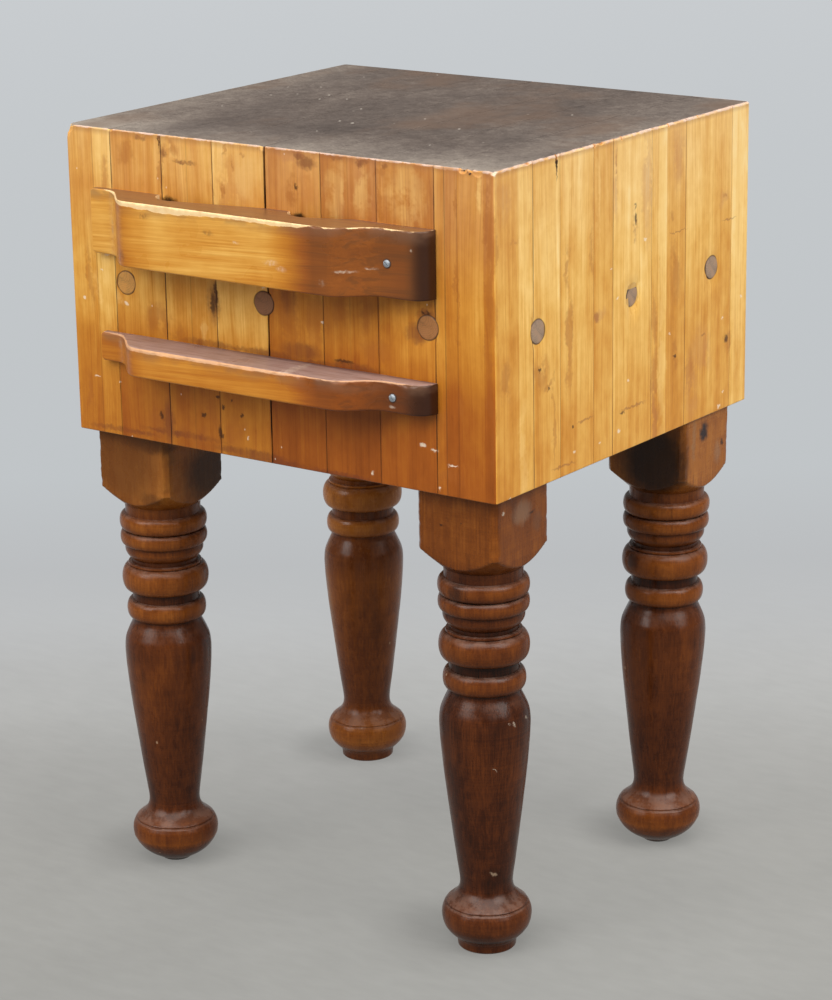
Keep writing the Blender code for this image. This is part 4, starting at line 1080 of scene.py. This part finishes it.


# How light each leg's varnish is painted, and its own marks: middle, reach, colour and cover. The gains partly stand in
# for light: the back left leg is lifted against the shade where it stands.
LEG_GAIN = {"front_left": 0.92, "front_right": 0.64, "back_left": 1.44, "back_right": 0.90}
LEG_MARKS = {
    "front_right": (
        ((0.2152, -0.1960, 0.4123), (0.016, 0.030, 0.014), (0.018, 0.008, 0.006), 0.70),
        ((0.1979, -0.1900, 0.3833), (0.012, 0.030, 0.008), (0.018, 0.008, 0.006), 0.50),
        ((0.2670, -0.1605, 0.4963), (0.010, 0.022, 0.018), (0.240, 0.150, 0.095), 0.55),
        ((0.2670, -0.1326, 0.4806), (0.010, 0.012, 0.016), (0.120, 0.060, 0.035), 0.40),
        ((0.2670, -0.1952, 0.5041), (0.010, 0.0022, 0.0018), (0.560, 0.470, 0.370), 0.75),
        ((0.2670, -0.1419, 0.4917), (0.010, 0.0060, 0.0016), (0.018, 0.008, 0.006), 0.85),
        ((0.2001, -0.2090, 0.4827), (0.0022, 0.010, 0.0024), (0.018, 0.008, 0.006), 0.85),
        ((0.2229, -0.2090, 0.4897), (0.0018, 0.010, 0.0018), (0.018, 0.008, 0.006), 0.80),
        ((0.2399, -0.1760, 0.0928), (0.0034, 0.03, 0.0044), (0.420, 0.300, 0.200), 0.50),
        ((0.2619, -0.1590, 0.2664), (0.0020, 0.03, 0.0022), (0.560, 0.470, 0.370), 0.50),
        ((0.2511, -0.2000, 0.2178), (0.0013, 0.03, 0.0016), (0.560, 0.470, 0.370), 0.50),
        ((0.2659, -0.1900, 0.2154), (0.0012, 0.03, 0.0015), (0.560, 0.470, 0.370), 0.45),
    ),
    "back_right": (
        ((0.2750, 0.1931, 0.5016), (0.012, 0.0120, 0.0150), (0.016, 0.011, 0.014), 0.95),
        ((0.2750, 0.1714, 0.4973), (0.012, 0.0060, 0.0380), (0.300, 0.160, 0.070), 0.50),
        ((0.2750, 0.2247, 0.4709), (0.012, 0.0100, 0.0180), (0.240, 0.150, 0.095), 0.40),
        ((0.2750, 0.2334, 0.4818), (0.010, 0.0040, 0.0050), (0.018, 0.008, 0.006), 0.80),
        # Painted shade: the back right pommel's front face, deep under the block.
        ((0.2376, 0.1500, 0.4713), (0.070, 0.022, 0.070), (0.008, 0.003, 0.002), 0.93),
        ((0.2071, 0.1600, 0.3485), (0.012, 0.030, 0.014), (0.018, 0.008, 0.006), 0.70),
    ),
    "front_left": (
        # Painted shade: the front left pommel darkened along its top, at the right of its front face and on its right
        # face, beneath the block.
        ((-0.1522, -0.2110, 0.4981), (0.026, 0.030, 0.030), (0.014, 0.006, 0.003), 0.80),
        ((-0.1918, -0.2110, 0.5103), (0.050, 0.030, 0.012), (0.016, 0.007, 0.003), 0.70),
        ((-0.1951, -0.2110, 0.4478), (0.020, 0.020, 0.010), (0.050, 0.020, 0.006), 0.50),
        ((-0.1700, -0.1359, 0.4681), (0.030, 0.060, 0.050), (0.012, 0.005, 0.003), 0.80),
        ((-0.2350, -0.2110, 0.4900), (0.080, 0.040, 0.080), (0.120, 0.036, 0.006), 0.78),
        ((-0.2725, -0.1800, 0.1992), (0.012, 0.040, 0.090), (0.240, 0.105, 0.025), 0.40),
    ),
    "back_left": (
        ((-0.2568, 0.2000, 0.2053), (0.012, 0.040, 0.120), (0.260, 0.110, 0.026), 0.35),
        ((-0.1916, 0.1800, 0.1708), (0.010, 0.040, 0.100), (0.050, 0.016, 0.005), 0.35),
    ),
}


def lathe_varnish(name, place_shift, gain, marks):
    """Dark red-brown varnish on turned maple: lighter on the pommel, dark in the hollows, with long streaks, cloudy
    patches, rubbed crests and a few pale nicks. The base under the ball is painted shade, and the upward faces are
    greyed, partly by dust and partly by a painted sheen."""
    material, w, shader, place = new_material(name)
    moved_place = w.vector("ADD", place, place_shift)
    height = w.add("ShaderNodeSeparateXYZ", {0: place}).outputs["Z"]
    clouds = w.noise(w.scaled(moved_place, (22, 22, 9)), 1.0, 4.0, 0.6)
    streaks = w.noise(w.scaled(moved_place, (150, 150, 5)), 1.0, 3.0, 0.6)
    fibres = w.noise(w.scaled(moved_place, (700, 700, 22)), 1.0, 2.0)
    blotches = w.noise(w.scaled(moved_place, (70, 70, 45)), 1.0, 4.0, 0.65)
    normal = w.add("ShaderNodeSeparateXYZ", {0: w.add("ShaderNodeNewGeometry").outputs["Normal"]}).outputs["Z"]
    turning = w.noise(w.scaled(moved_place, (9, 9, 950)), 1.0, 2.0, 0.6)
    # Tone by height, lighter on the pommel. The lowest stops, on the base under the ball of the foot, are painted
    # shade.
    levels = (
        (0.0, (0.10,)), (0.022, (0.12,)), (0.036, (0.40,)), (0.10, (0.44,)), (0.14, (0.30,)), (0.30, (0.34,)),
        (0.46, (0.40,)), (0.52, (0.30,)), (0.56, (0.34,)), (0.58, (0.46,)), (0.80, (0.52,)), (0.86, (0.92,)), (1.0, (0.92,)),
    )
    level = w.add("ShaderNodeSeparateColor", {0: w.ramp(w.math("DIVIDE", height, UNDER), levels)}).outputs[0]
    tone = w.math("MULTIPLY_ADD", w.math("SUBTRACT", clouds, 0.5), 0.42, w.math("MULTIPLY", level, gain))
    tone = w.math("MULTIPLY_ADD", w.math("SUBTRACT", streaks, 0.5), 0.20, tone)
    tone = w.math("MULTIPLY_ADD", w.math("SUBTRACT", blotches, 0.5), 0.28, tone)
    tone = w.math("MULTIPLY_ADD", w.math("SUBTRACT", fibres, 0.5), 0.34, tone)
    tone = w.math("MULTIPLY_ADD", w.math("SUBTRACT", turning, 0.5), 0.18, tone)
    hollow = w.add("ShaderNodeAttribute", attribute_name="hollow").outputs["Fac"]
    tone = w.math("SUBTRACT", tone, w.math("MULTIPLY", hollow, 0.24))
    colour = w.ramp(
        tone,
        (
            (0.00, (0.010, 0.003, 0.001)), (0.20, (0.040, 0.009, 0.002)), (0.40, (0.094, 0.023, 0.004)),
            (0.60, (0.175, 0.047, 0.006)), (0.80, (0.280, 0.088, 0.012)), (1.00, (0.420, 0.160, 0.028)),
        ),
    )
    grime = w.span(w.noise(w.scaled(moved_place, (60, 60, 16)), 1.0, 3.0), 0.62, 0.80, 0.0, 0.40)
    colour = w.blend(grime, colour, (0.020, 0.008, 0.004))
    for (x, y, z), reach, paint, cover in marks:
        spot = w.add("ShaderNodeGroup", node_tree=SPOT)
        w.set(spot.inputs["Place"], w.vector("ADD", place, w.vector("MULTIPLY", w.vector("SUBTRACT", w.add(
            "ShaderNodeTexNoise", {"Vector": place, "Scale": 150.0, "Detail": 3.0}).outputs["Color"], (0.5,) * 3), (0.012,) * 3)))
        w.set(spot.inputs["Centre"], (x, y, z))
        w.set(spot.inputs["Reach"], reach)
        colour = w.blend(w.math("MULTIPLY", spot.outputs[0], cover), colour, paint)
    chips = w.add("ShaderNodeTexVoronoi", {"Vector": w.scaled(moved_place, (1, 1, 0.7)), "Scale": 62.0}, feature="F1")
    picked = w.add("ShaderNodeSeparateColor", {0: chips.outputs["Color"]}).outputs
    size = w.math("MULTIPLY_ADD", picked[1], 0.09, 0.015)
    nick = w.math("MULTIPLY", w.math("LESS_THAN", chips.outputs["Distance"], size), w.math("GREATER_THAN", picked[0], 0.86))
    colour = w.blend(w.math("MULTIPLY", nick, 0.55), colour, (0.42, 0.28, 0.17))
    rough = w.span(blotches, 0.3, 0.7, 0.18, 0.38)
    w.set(shader.inputs["Roughness"], rough)
    # Upward faces below the pommel are greyed: partly dust, partly a painted sheen on the beads.
    dust_and_sheen = w.math("MULTIPLY", w.span(normal, 0.25, 0.85, 0.0, 0.36), w.span(blotches, 0.42, 0.60, 0.4, 1.0))
    dust_and_sheen = w.math("MULTIPLY", dust_and_sheen, w.span(height, 0.44, 0.46, 1.0, 0.0))
    colour = w.blend(dust_and_sheen, colour, (0.200, 0.135, 0.108))
    w.set(shader.inputs["Base Color"], colour)
    bump = w.math("MULTIPLY_ADD", clouds, 0.6, w.math("MULTIPLY", fibres, 0.25))
    bump = w.math("MULTIPLY_ADD", turning, 0.12, w.math("MULTIPLY_ADD", blotches, 0.25, bump))
    w.set(shader.inputs["Normal"], w.bump(bump, 0.0007, 0.6))
    shader.inputs["Specular IOR Level"].default_value = 0.20
    return material


def rail_varnish(name, rail):
    """Amber varnish over grain that runs along the rail, with a cream worn top arris, grey-brown top, redder tail and
    lip, and a dark end. Faces turned back towards the block, and a band on the upper rail's left ogee, carry painted
    shade."""
    left, top, height = (RAILS[rail][key] for key in ("left", "top", "height"))
    material, w, shader, place = new_material(name)
    axes = w.add("ShaderNodeSeparateXYZ", {0: place}).outputs
    normal = w.add("ShaderNodeSeparateXYZ", {0: w.add("ShaderNodeNewGeometry").outputs["Normal"]}).outputs
    along = w.math("SUBTRACT", axes["X"], LEFT)
    lie = w.scaled(place, (1, 1, 1), (0, 0, 0), (0, math.radians(2.5), 0))
    bands = w.noise(w.scaled(lie, (3.5, 60, 120)), 1.0, 3.0, 0.55, 0.6)
    streaks = w.noise(w.scaled(lie, (9, 300, 420)), 1.0, 3.0, 0.6)
    fibres = w.noise(w.scaled(lie, (26, 900, 1300)), 1.0, 2.0)
    clouds = w.noise(w.scaled(place, (16, 16, 22)), 1.0, 3.0)
    upper = rail == "upper"
    body = 0.655 if upper else 0.47
    # Tone along the rail. On the upper rail the dip where the left ogee turns out, at 0.104, is painted shade on that
    # curve.
    stops = (
        (0.07, 0.64), (0.090, 0.58), (0.104, 0.42), (0.118, 0.47), (0.135, 0.58), (0.165, body), (0.310, body),
        (0.340, 0.48), (0.372, 0.235), (0.400, 0.265), (0.430, 0.255), (0.466, 0.20), (0.482, 0.05), (0.56, 0.03),
    ) if upper else (
        (0.07, 0.42), (0.090, 0.42), (0.118, 0.36), (0.140, 0.48), (0.20, 0.52), (0.335, 0.46),
        (0.375, 0.23), (0.400, 0.21), (0.430, 0.175), (0.463, 0.12), (0.478, 0.04), (0.56, 0.03),
    )
    level = w.ramp(w.math("DIVIDE", along, 0.56), [(position / 0.56, (tone,)) for position, tone in stops])
    tone = w.add("ShaderNodeSeparateColor", {0: level}).outputs[0]
    variation = w.math("MULTIPLY_ADD", w.math("SUBTRACT", bands, 0.5), 0.55, 1.0)
    variation = w.math("MULTIPLY_ADD", w.math("SUBTRACT", streaks, 0.5), 0.45, variation)
    variation = w.math("MULTIPLY_ADD", w.math("SUBTRACT", fibres, 0.5), 0.20, variation)
    variation = w.math("MULTIPLY_ADD", w.math("SUBTRACT", clouds, 0.5), 0.45, variation)
    tone = w.math("MULTIPLY", tone, variation)
    colour = w.ramp(tone, AMBER)
    tail = w.span(along, 0.33, 0.38)
    figure = w.noise(w.scaled(lie, (6, 90, 150), (3, 0, 0)), 1.0, 3.0, 0.6, 0.8)
    figure = w.math("MULTIPLY", w.span(figure, 0.50, 0.62, 0.0, 0.45), tail)
    colour = w.blend(figure, colour, (0.090, 0.026, 0.008))
    colour = w.blend(w.math("MULTIPLY", tail, 0.34 if upper else 0.15), colour, (0.165, 0.078, 0.026))
    colour = w.blend(w.span(along, 0.470 if upper else 0.458, 0.485, 0.0, 0.85), colour, (0.030, 0.009, 0.004))
    # Painted shade: faces turned back towards the block, the knife pockets' walls and the rail's back, are taken nearly
    # to black.
    colour = w.blend(w.span(normal["Y"], 0.3, 0.8, 0.0, 0.92), colour, (0.014, 0.006, 0.003))
    drop = w.math("SUBTRACT", top, axes["Z"])
    soot = w.span(drop, 0.002, 0.018, 0.55, 0.0)
    soot = w.math("MULTIPLY", soot, w.span(w.noise(w.scaled(place, (30, 30, 60)), 1.0, 3.0), 0.35, 0.65))
    colour = w.blend(soot, colour, (0.20, 0.105, 0.062))

    # The top: handled until it went grey-brown.
    up = w.span(normal["Z"], 0.80, 0.95)
    if upper:
        handled = w.blend(clouds, (0.150, 0.062, 0.022), (0.265, 0.125, 0.045))
    else:
        handled = w.blend(clouds, (0.240, 0.150, 0.130), (0.430, 0.300, 0.270))
    handled = w.blend(w.span(streaks, 0.4, 0.7, 0.0, 0.5), handled, (0.130, 0.060, 0.034))
    colour = w.blend(up, colour, handled)
    # Darker on the rail's top along its join with the block, more so towards the right.
    touching = w.math("SUBTRACT", FRONT, axes["Y"])
    top_tint = w.math("MULTIPLY", w.span(touching, 0.0005, 0.012, 1.0, 0.0), w.span(axes["X"], -0.12, 0.02, 0.25, 1.0))
    top_tint = w.math("MULTIPLY", top_tint, w.math("MULTIPLY", up, w.span(clouds, 0.30, 0.55, 0.4, 1.0)))
    colour = w.blend(w.math("MULTIPLY", top_tint, 0.75), colour, (0.055, 0.022, 0.026) if not upper else (0.16, 0.07, 0.05))

    # The worn arris: bare wood along the top front edge, ragged below.
    out = w.math("SUBTRACT", FRONT, axes["Y"])
    ragged = w.math("SUBTRACT", w.noise(w.scaled(place, (70, 70, 40)), 1.0, 4.0, 0.65), 0.5)
    width_stops = (
        ((0.05, 0.0), (0.075, 0.25), (0.105, 0.45), (0.125, 0.62), (0.175, 0.90), (0.215, 0.75), (0.245, 0.52),
         (0.285, 0.48), (0.320, 0.62), (0.352, 0.45), (0.366, 0.10), (0.395, 0.04), (0.425, 0.14), (0.452, 0.08), (0.465, 0.0))
        if upper else
        ((0.05, 0.10), (0.075, 0.30), (0.105, 0.42), (0.125, 0.62), (0.175, 0.62), (0.260, 0.58),
         (0.320, 0.52), (0.355, 0.28), (0.380, 0.18), (0.41, 0.20), (0.46, 0.22), (0.475, 0.0))
    )
    width = w.ramp(w.math("DIVIDE", along, 0.56), [(position / 0.56, (size,)) for position, size in width_stops])
    width = w.math("MULTIPLY", w.add("ShaderNodeSeparateColor", {0: width}).outputs[0], 0.0084 if upper else 0.0062)
    fray = w.math("MULTIPLY_ADD", ragged, 0.0052 if upper else 0.0030, drop)
    on_face = w.span(normal["Z"], 0.86, 0.97, 1.0, 0.0)
    bare_share = w.math("MULTIPLY", w.span(w.math("SUBTRACT", fray, width), -0.0006, 0.0003, 1.0, 0.0), on_face)
    bare_share = w.math("MULTIPLY", bare_share, w.math("GREATER_THAN", normal["Z"], -0.2))
    cream = w.blend(w.noise(place, 120.0, 3.0), (0.80, 0.50, 0.21), (0.93, 0.74, 0.44)) if upper else w.blend(
        w.noise(place, 120.0, 3.0), (0.72, 0.38, 0.20), (0.86, 0.56, 0.34))
    colour = w.blend(w.math("MULTIPLY", bare_share, 0.92 if upper else 0.62), colour, cream)

    # Scuffs, the glue-pale specks and the grey rub on the left curve.
    marks = (
        ("chalk", 0.318, 0.044, 0.013, 0.0045), ("chalk", 0.331, 0.049, 0.010, 0.0040), ("chalk", 0.405, 0.045, 0.014, 0.0022),
        ("chalk", 0.428, 0.042, 0.007, 0.0016), ("chalk", 0.475, 0.019, 0.0022, 0.0025), ("chalk", 0.273, 0.028, 0.006, 0.002),
        ("grey", 0.072, 0.040, 0.004, 0.018), ("grey", 0.383, 0.058, 0.005, 0.006), ("dark", 0.115, 0.060, 0.010, 0.010),
        ("dark", 0.150, 0.012, 0.010, 0.006), ("dark", 0.235, 0.022, 0.012, 0.004),
    ) if upper else (
        ("chalk", 0.449, 0.0255, 0.005, 0.0020), ("grey", 0.075, 0.010, 0.006, 0.010), ("dark", 0.115, 0.004, 0.015, 0.004),
        ("chalk", 0.330, 0.0, 0.010, 0.0012), ("dark", 0.405, 0.012, 0.012, 0.006), ("dark", 0.090, 0.020, 0.008, 0.008),
    )
    jitter = w.add("ShaderNodeTexNoise", {"Vector": place, "Scale": 260.0, "Detail": 3.0})
    wandering = w.vector("ADD", place, w.vector("MULTIPLY", w.vector("SUBTRACT", jitter.outputs["Color"], (0.5,) * 3), (0.010, 0.0, 0.005)))
    paints = {"chalk": ((0.80, 0.68, 0.54), 0.36), "grey": ((0.36, 0.27, 0.20), 0.55), "dark": ((0.17, 0.06, 0.02), 0.5)}
    for kind, at, down, half_length, half_height in marks:
        spot = w.add("ShaderNodeGroup", node_tree=SPOT)
        w.set(spot.inputs["Place"], wandering)
        w.set(spot.inputs["Centre"], (LEFT + at, FRONT - 0.035, top - down))
        w.set(spot.inputs["Reach"], (half_length, 0.040, half_height))
        paint, cover = paints[kind]
        share = w.math("MULTIPLY", spot.outputs[0], w.span(jitter.outputs["Fac"], 0.40, 0.60, 0.3, 1.0))
        colour = w.blend(w.math("MULTIPLY", share, cover), colour, paint)
    screw = w.add("ShaderNodeCombineXYZ", {0: w.math("SUBTRACT", along, SCREW_FROM_LEFT[rail]), 1: w.math("SUBTRACT", axes["Z"], top - height / 2)})
    ring = w.span(w.vector("LENGTH", screw.outputs[0]), 0.0040, 0.0062, 0.75, 0.0)
    colour = w.blend(ring, colour, (0.045, 0.030, 0.022))
    w.set(shader.inputs["Base Color"], colour)
    rough = w.span(clouds, 0.3, 0.7, 0.26, 0.38)
    rough = w.add("ShaderNodeMix", {0: bare_share, 2: rough, 3: 0.65}, data_type="FLOAT").outputs[0]
    w.set(shader.inputs["Roughness"], rough)
    bump = w.math("MULTIPLY_ADD", streaks, 0.4, w.math("MULTIPLY", clouds, 0.7))
    bump = w.math("SUBTRACT", bump, w.math("MULTIPLY", bare_share, 0.6))
    w.set(shader.inputs["Normal"], w.bump(bump, 0.0005, 0.7))
    shader.inputs["Specular IOR Level"].default_value = 0.27
    return material


def plug_wood(name, mouth, axis, pale, warm):
    """End grain of a round plug: rings off the centre, speckled pores and a dark rim. The deeply sunk plug also gets a
    painted shadow crescent from its hole's edge.
    """
    material, w, shader, place = new_material(name)
    centred = w.vector("SUBTRACT", place, tuple(mouth))
    flat = (0.0, 1.0, 1.0) if axis == 0 else (1.0, 0.0, 1.0)
    centred = w.vector("MULTIPLY", centred, flat)
    from_middle = w.vector("LENGTH", centred)
    off = w.vector("LENGTH", w.vector("ADD", centred, (0.006, 0.006, -0.009)))
    sway = w.noise(centred, 120.0, 2.0)
    rings = w.math("SINE", w.math("MULTIPLY", w.math("MULTIPLY_ADD", sway, 0.004, off), 3200.0))
    speckle = w.noise(centred, 700.0, 3.0, 0.7)
    blotch = w.noise(centred, 110.0, 2.0)
    tone = w.math("MULTIPLY_ADD", rings, 0.16, w.math("MULTIPLY_ADD", w.math("SUBTRACT", speckle, 0.5), 1.9, 0.32))
    tone = w.math("MULTIPLY_ADD", w.math("SUBTRACT", blotch, 0.5), 2.0, tone)
    dark = tuple(0.55 * value for value in pale)
    colour = w.blend(w.math("ADD", tone, 0.2, clamp=True), dark, pale)
    colour = w.blend(w.span(blotch, 0.45, 0.65, 0.0, 0.5), colour, warm)
    rim = w.span(from_middle, 0.0117, 0.0126, 0.0, 0.72)
    colour = w.blend(rim, colour, (0.060, 0.030, 0.018))
    # Painted shadow: on the deeply sunk plug, a dark crescent where the hole's edge shades its face.
    if name.endswith("right_2"):
        shadow_reach = w.vector("LENGTH", w.vector("SUBTRACT", centred, (0.0, 0.0030, -0.0030)))
        colour = w.blend(w.span(shadow_reach, 0.0100, 0.0122, 0.0, 0.90), colour, (0.030, 0.014, 0.008))
    w.set(shader.inputs["Base Color"], colour)
    w.set(shader.inputs["Roughness"], w.span(speckle, 0.3, 0.7, 0.45, 0.65))
    w.set(shader.inputs["Normal"], w.bump(speckle, 0.0003, 0.7))
    return material


def worn_steel(name, rough_low, rough_high):
    """Bright but tired steel: grey tone clouds, fine brushing and a little rust."""
    material, w, shader, place = new_material(name)
    clouds = w.noise(place, 420.0, 3.0)
    brushed = w.noise(w.scaled(place, (300, 300, 2600)), 1.0, 2.0)
    colour = w.blend(clouds, (0.26, 0.29, 0.32), (0.50, 0.55, 0.60))
    colour = w.blend(w.span(clouds, 0.60, 0.74, 0.0, 0.6), colour, (0.22, 0.11, 0.06))
    w.set(shader.inputs["Base Color"], colour)
    shader.inputs["Metallic"].default_value = 0.85
    w.set(shader.inputs["Roughness"], w.span(brushed, 0.3, 0.7, rough_low, rough_high))
    w.set(shader.inputs["Normal"], w.bump(brushed, 0.0001, 0.5))
    return material


def dowel_beech(name):
    """Plain beech dowel with short dark flecks."""
    material, w, shader, place = new_material(name)
    flecks = w.noise(w.scaled(place, (900, 60, 900)), 1.0, 2.0)
    colour = w.blend(w.span(flecks, 0.4, 0.7), (0.62, 0.42, 0.22), (0.36, 0.20, 0.09))
    w.set(shader.inputs["Base Color"], colour)
    w.set(shader.inputs["Roughness"], w.span(flecks, 0.3, 0.7, 0.55, 0.68))
    w.set(shader.inputs["Normal"], w.bump(flecks, 0.0002, 0.6))
    return material


# --------------------------------------------------------------------- put it together


def build_table():
    """Every piece, with the wood or metal that it is made of."""
    for name, box, outer in stave_plan():
        build_stave(name, box, outer, holes_of(box, outer), stave_material(name, box, outer))
    for number, place in enumerate(LEG_PLACES):
        shift = (number * 0.37, number * 0.21, number * 0.53)
        gain, marks = LEG_GAIN[place], LEG_MARKS.get(place, ())
        build_leg(place, lathe_varnish(f"varnish_of_leg_{place}", shift, gain, marks))
    screw_steel = worn_steel("screw_steel", 0.48, 0.68)
    for rail in RAILS:
        build_rail(rail, rail_varnish(f"varnish_of_{rail}_rail", rail))
        middle = (LEFT + SCREW_FROM_LEFT[rail], RAILS[rail]["top"] - RAILS[rail]["height"] / 2)
        build_screw(f"rail_screw_{rail}", middle, FRONT - GAP - TAIL_DEPTH - GAP, screw_steel)
    grey, brown, tan = (0.430, 0.290, 0.195), (0.310, 0.135, 0.055), (0.660, 0.320, 0.070)
    looks = {
        ("front", 0): (tan, (0.56, 0.25, 0.05)), ("front", 1): (brown, (0.22, 0.092, 0.036)),
        ("front", 2): ((0.420, 0.170, 0.045), (0.30, 0.12, 0.04)),
    }
    for face, axis, fixed, spots, level in (
        ("front", 1, FRONT, FRONT_PLUGS, FRONT_PLUG_HEIGHT), ("back", 1, BACK, FRONT_PLUGS, FRONT_PLUG_HEIGHT),
        ("left", 0, LEFT, SIDE_PLUGS, SIDE_PLUG_HEIGHT), ("right", 0, RIGHT, SIDE_PLUGS, SIDE_PLUG_HEIGHT),
    ):
        for number, run in enumerate(spots):
            higher = level + SIDE_PLUG_RISE[number]
            mouth = Vector((LEFT + run, fixed, level)) if axis == 1 else Vector((fixed, FRONT + run, higher))
            inward = Vector((0, 1, 0)) if face == "front" else Vector((0, -1, 0))
            if axis == 0:
                inward = Vector((1, 0, 0)) if face == "left" else Vector((-1, 0, 0))
            sunk = 0.0025 if (face, number) == ("right", 1) else 0.0002
            pale, warm = looks.get((face, number), (grey, (0.36, 0.21, 0.12)))
            name = f"plug_{face}_{number + 1}"
            build_plug(name, mouth, inward, sunk, plug_wood(f"end_grain_of_{name}", mouth, axis, pale, warm))
    hidden = {"plain_steel": worn_steel("rod_steel", 0.35, 0.6), "dowel_beech": dowel_beech("beech_of_dowels")}
    for node_name, node in frame["nodes"].items():
        kind = frame_slot(node_name)
        if kind in hidden and not node.hide_render:
            node.material_slots[0].material = hidden[kind]


def add_floor():
    """A large pale floor that partly glows with its own light. Well behind the table it turns into the paler tone of a
    wall. Near the table its glow carries a painted brightening towards the right and painted contact shadows round the
    feet.
    """
    material, w, shader, place = new_material("studio_floor")
    yaw = math.radians(35.992)
    behind = w.vector("DOT_PRODUCT", place, (-math.sin(yaw), math.cos(yaw), 0.0))
    mottle = w.noise(w.scaled(place, (3.2, 3.2, 1)), 1.0, 4.0, 0.6)
    fine = w.noise(w.scaled(place, (24, 60, 1)), 1.0, 4.0, 0.6)
    shade = w.math("ADD", w.math("MULTIPLY", mottle, 0.6), w.math("MULTIPLY", fine, 0.4))
    aside = w.vector("DOT_PRODUCT", place, (math.cos(yaw), math.sin(yaw), 0.0))
    w.set(shader.inputs["Base Color"], w.blend(shade, FLOOR_DARK, FLOOR_PALE))
    w.set(shader.inputs["Roughness"], w.span(fine, 0.3, 0.7, 0.62, 0.72))
    shader.inputs["Specular IOR Level"].default_value = 0.2
    glow = w.ramp(
        w.math("DIVIDE", w.math("ADD", behind, 1.6), 9.6, clamp=True),
        tuple(((at + 1.6) / 9.6, colour) for at, colour in FLOOR_GLOW),
    )
    # Painted light: near the table the glow brightens towards the right of the view, and the floor's own mottle also
    # shows in it.
    lift = w.span(aside, -0.9, 0.9, -1.0, 1.0, "LINEAR")
    lift = w.math("MULTIPLY", lift, w.span(behind, 0.3, 0.9, FLOOR_TILT, 0.0))
    lift = w.math("ADD", lift, w.math("MULTIPLY", w.math("SUBTRACT", shade, 0.5), w.span(behind, 0.3, 1.2, 0.34, 0.0)))
    glow = w.blend(1.0, glow, w.add("ShaderNodeCombineColor", {0: w.math("ADD", lift, 1.0), 1: w.math("ADD", lift, 1.0), 2: w.math("ADD", lift, 1.0)}).outputs[0], "MULTIPLY")
    for (x, y), reach in zip(LEG_PLACES.values(), (0.11, 0.13, 0.10, 0.10)):
        shadow = w.add("ShaderNodeGroup", node_tree=SPOT)
        w.set(shadow.inputs["Place"], place)
        w.set(shadow.inputs["Centre"], (x - 0.030, y + 0.010, 0.0))
        w.set(shadow.inputs["Reach"], (reach, reach, 1.0))
        glow = w.blend(w.math("MULTIPLY", shadow.outputs[0], 0.26), glow, (0.10, 0.098, 0.092))
    light = w.add("ShaderNodeEmission", {"Color": glow, "Strength": 1.0}).outputs[0]
    mix = w.add("ShaderNodeMixShader", {0: w.span(behind, 0.40, 0.90, 0.66, 1.0), 1: shader.outputs[0], 2: light})
    w.set(material.node_tree.nodes["Material Output"].inputs["Surface"], mix.outputs[0])
    half = 40.0
    mesh = bpy.data.meshes.new("floor")
    mesh.from_pydata([(-half, -half, 0), (half, -half, 0), (half, half, 0), (-half, half, 0)], [], [(0, 1, 2, 3)])
    mesh.materials.append(material)
    floor = bpy.data.objects.new("floor", mesh)
    scene.collection.objects.link(floor)


FLOOR_DARK, FLOOR_PALE = (0.225, 0.222, 0.212), (0.315, 0.312, 0.300)
FLOOR_TILT = 0.078
FLOOR_GLOW = (
    (-1.2, (0.380, 0.380, 0.362)),
    (-0.6, (0.380, 0.380, 0.362)),
    (-0.3, (0.372, 0.371, 0.352)),
    (0.0, (0.400, 0.397, 0.377)),
    (0.3, (0.470, 0.469, 0.454)),
    (0.5, (0.535, 0.540, 0.532)),
    (0.65, (0.520, 0.525, 0.522)),
    (1.1, (0.498, 0.512, 0.524)),
    (1.6, (0.530, 0.556, 0.574)),
    (8.0, (0.580, 0.604, 0.625)),
)


def add_soft_sun(name, azimuth, rise, spread, strength, colour):
    """A wide soft light from a compass direction, 0 from the front and 90 from the right."""
    light = bpy.data.lights.new(name, "SUN")
    light.energy = strength
    light.angle = math.radians(spread)
    light.color = colour
    lamp = bpy.data.objects.new(name, light)
    scene.collection.objects.link(lamp)
    turn, lift = math.radians(azimuth), math.radians(rise)
    back = Vector((math.sin(turn) * math.cos(lift), -math.cos(turn) * math.cos(lift), math.sin(lift)))
    lamp.rotation_euler = back.to_track_quat("Z", "Y").to_euler()


def add_lights():
    """Even room light, a wide light overhead, and two lower ones from the right and left."""
    world = bpy.data.worlds.new("room")
    scene.world = world
    world.use_nodes = True
    background = world.node_tree.nodes["Background"]
    background.inputs["Color"].default_value = (0.585, 0.580, 0.570, 1.0)
    background.inputs["Strength"].default_value = 0.44
    add_soft_sun("overhead", 40, 66, 62, 2.9, (1.0, 0.985, 0.96))
    add_soft_sun("right", 88, 36, 34, 1.60, (1.0, 0.985, 0.96))
    add_soft_sun("left", -22, 34, 34, 1.60, (1.0, 0.985, 0.96))


build_table()
add_floor()
add_lights()
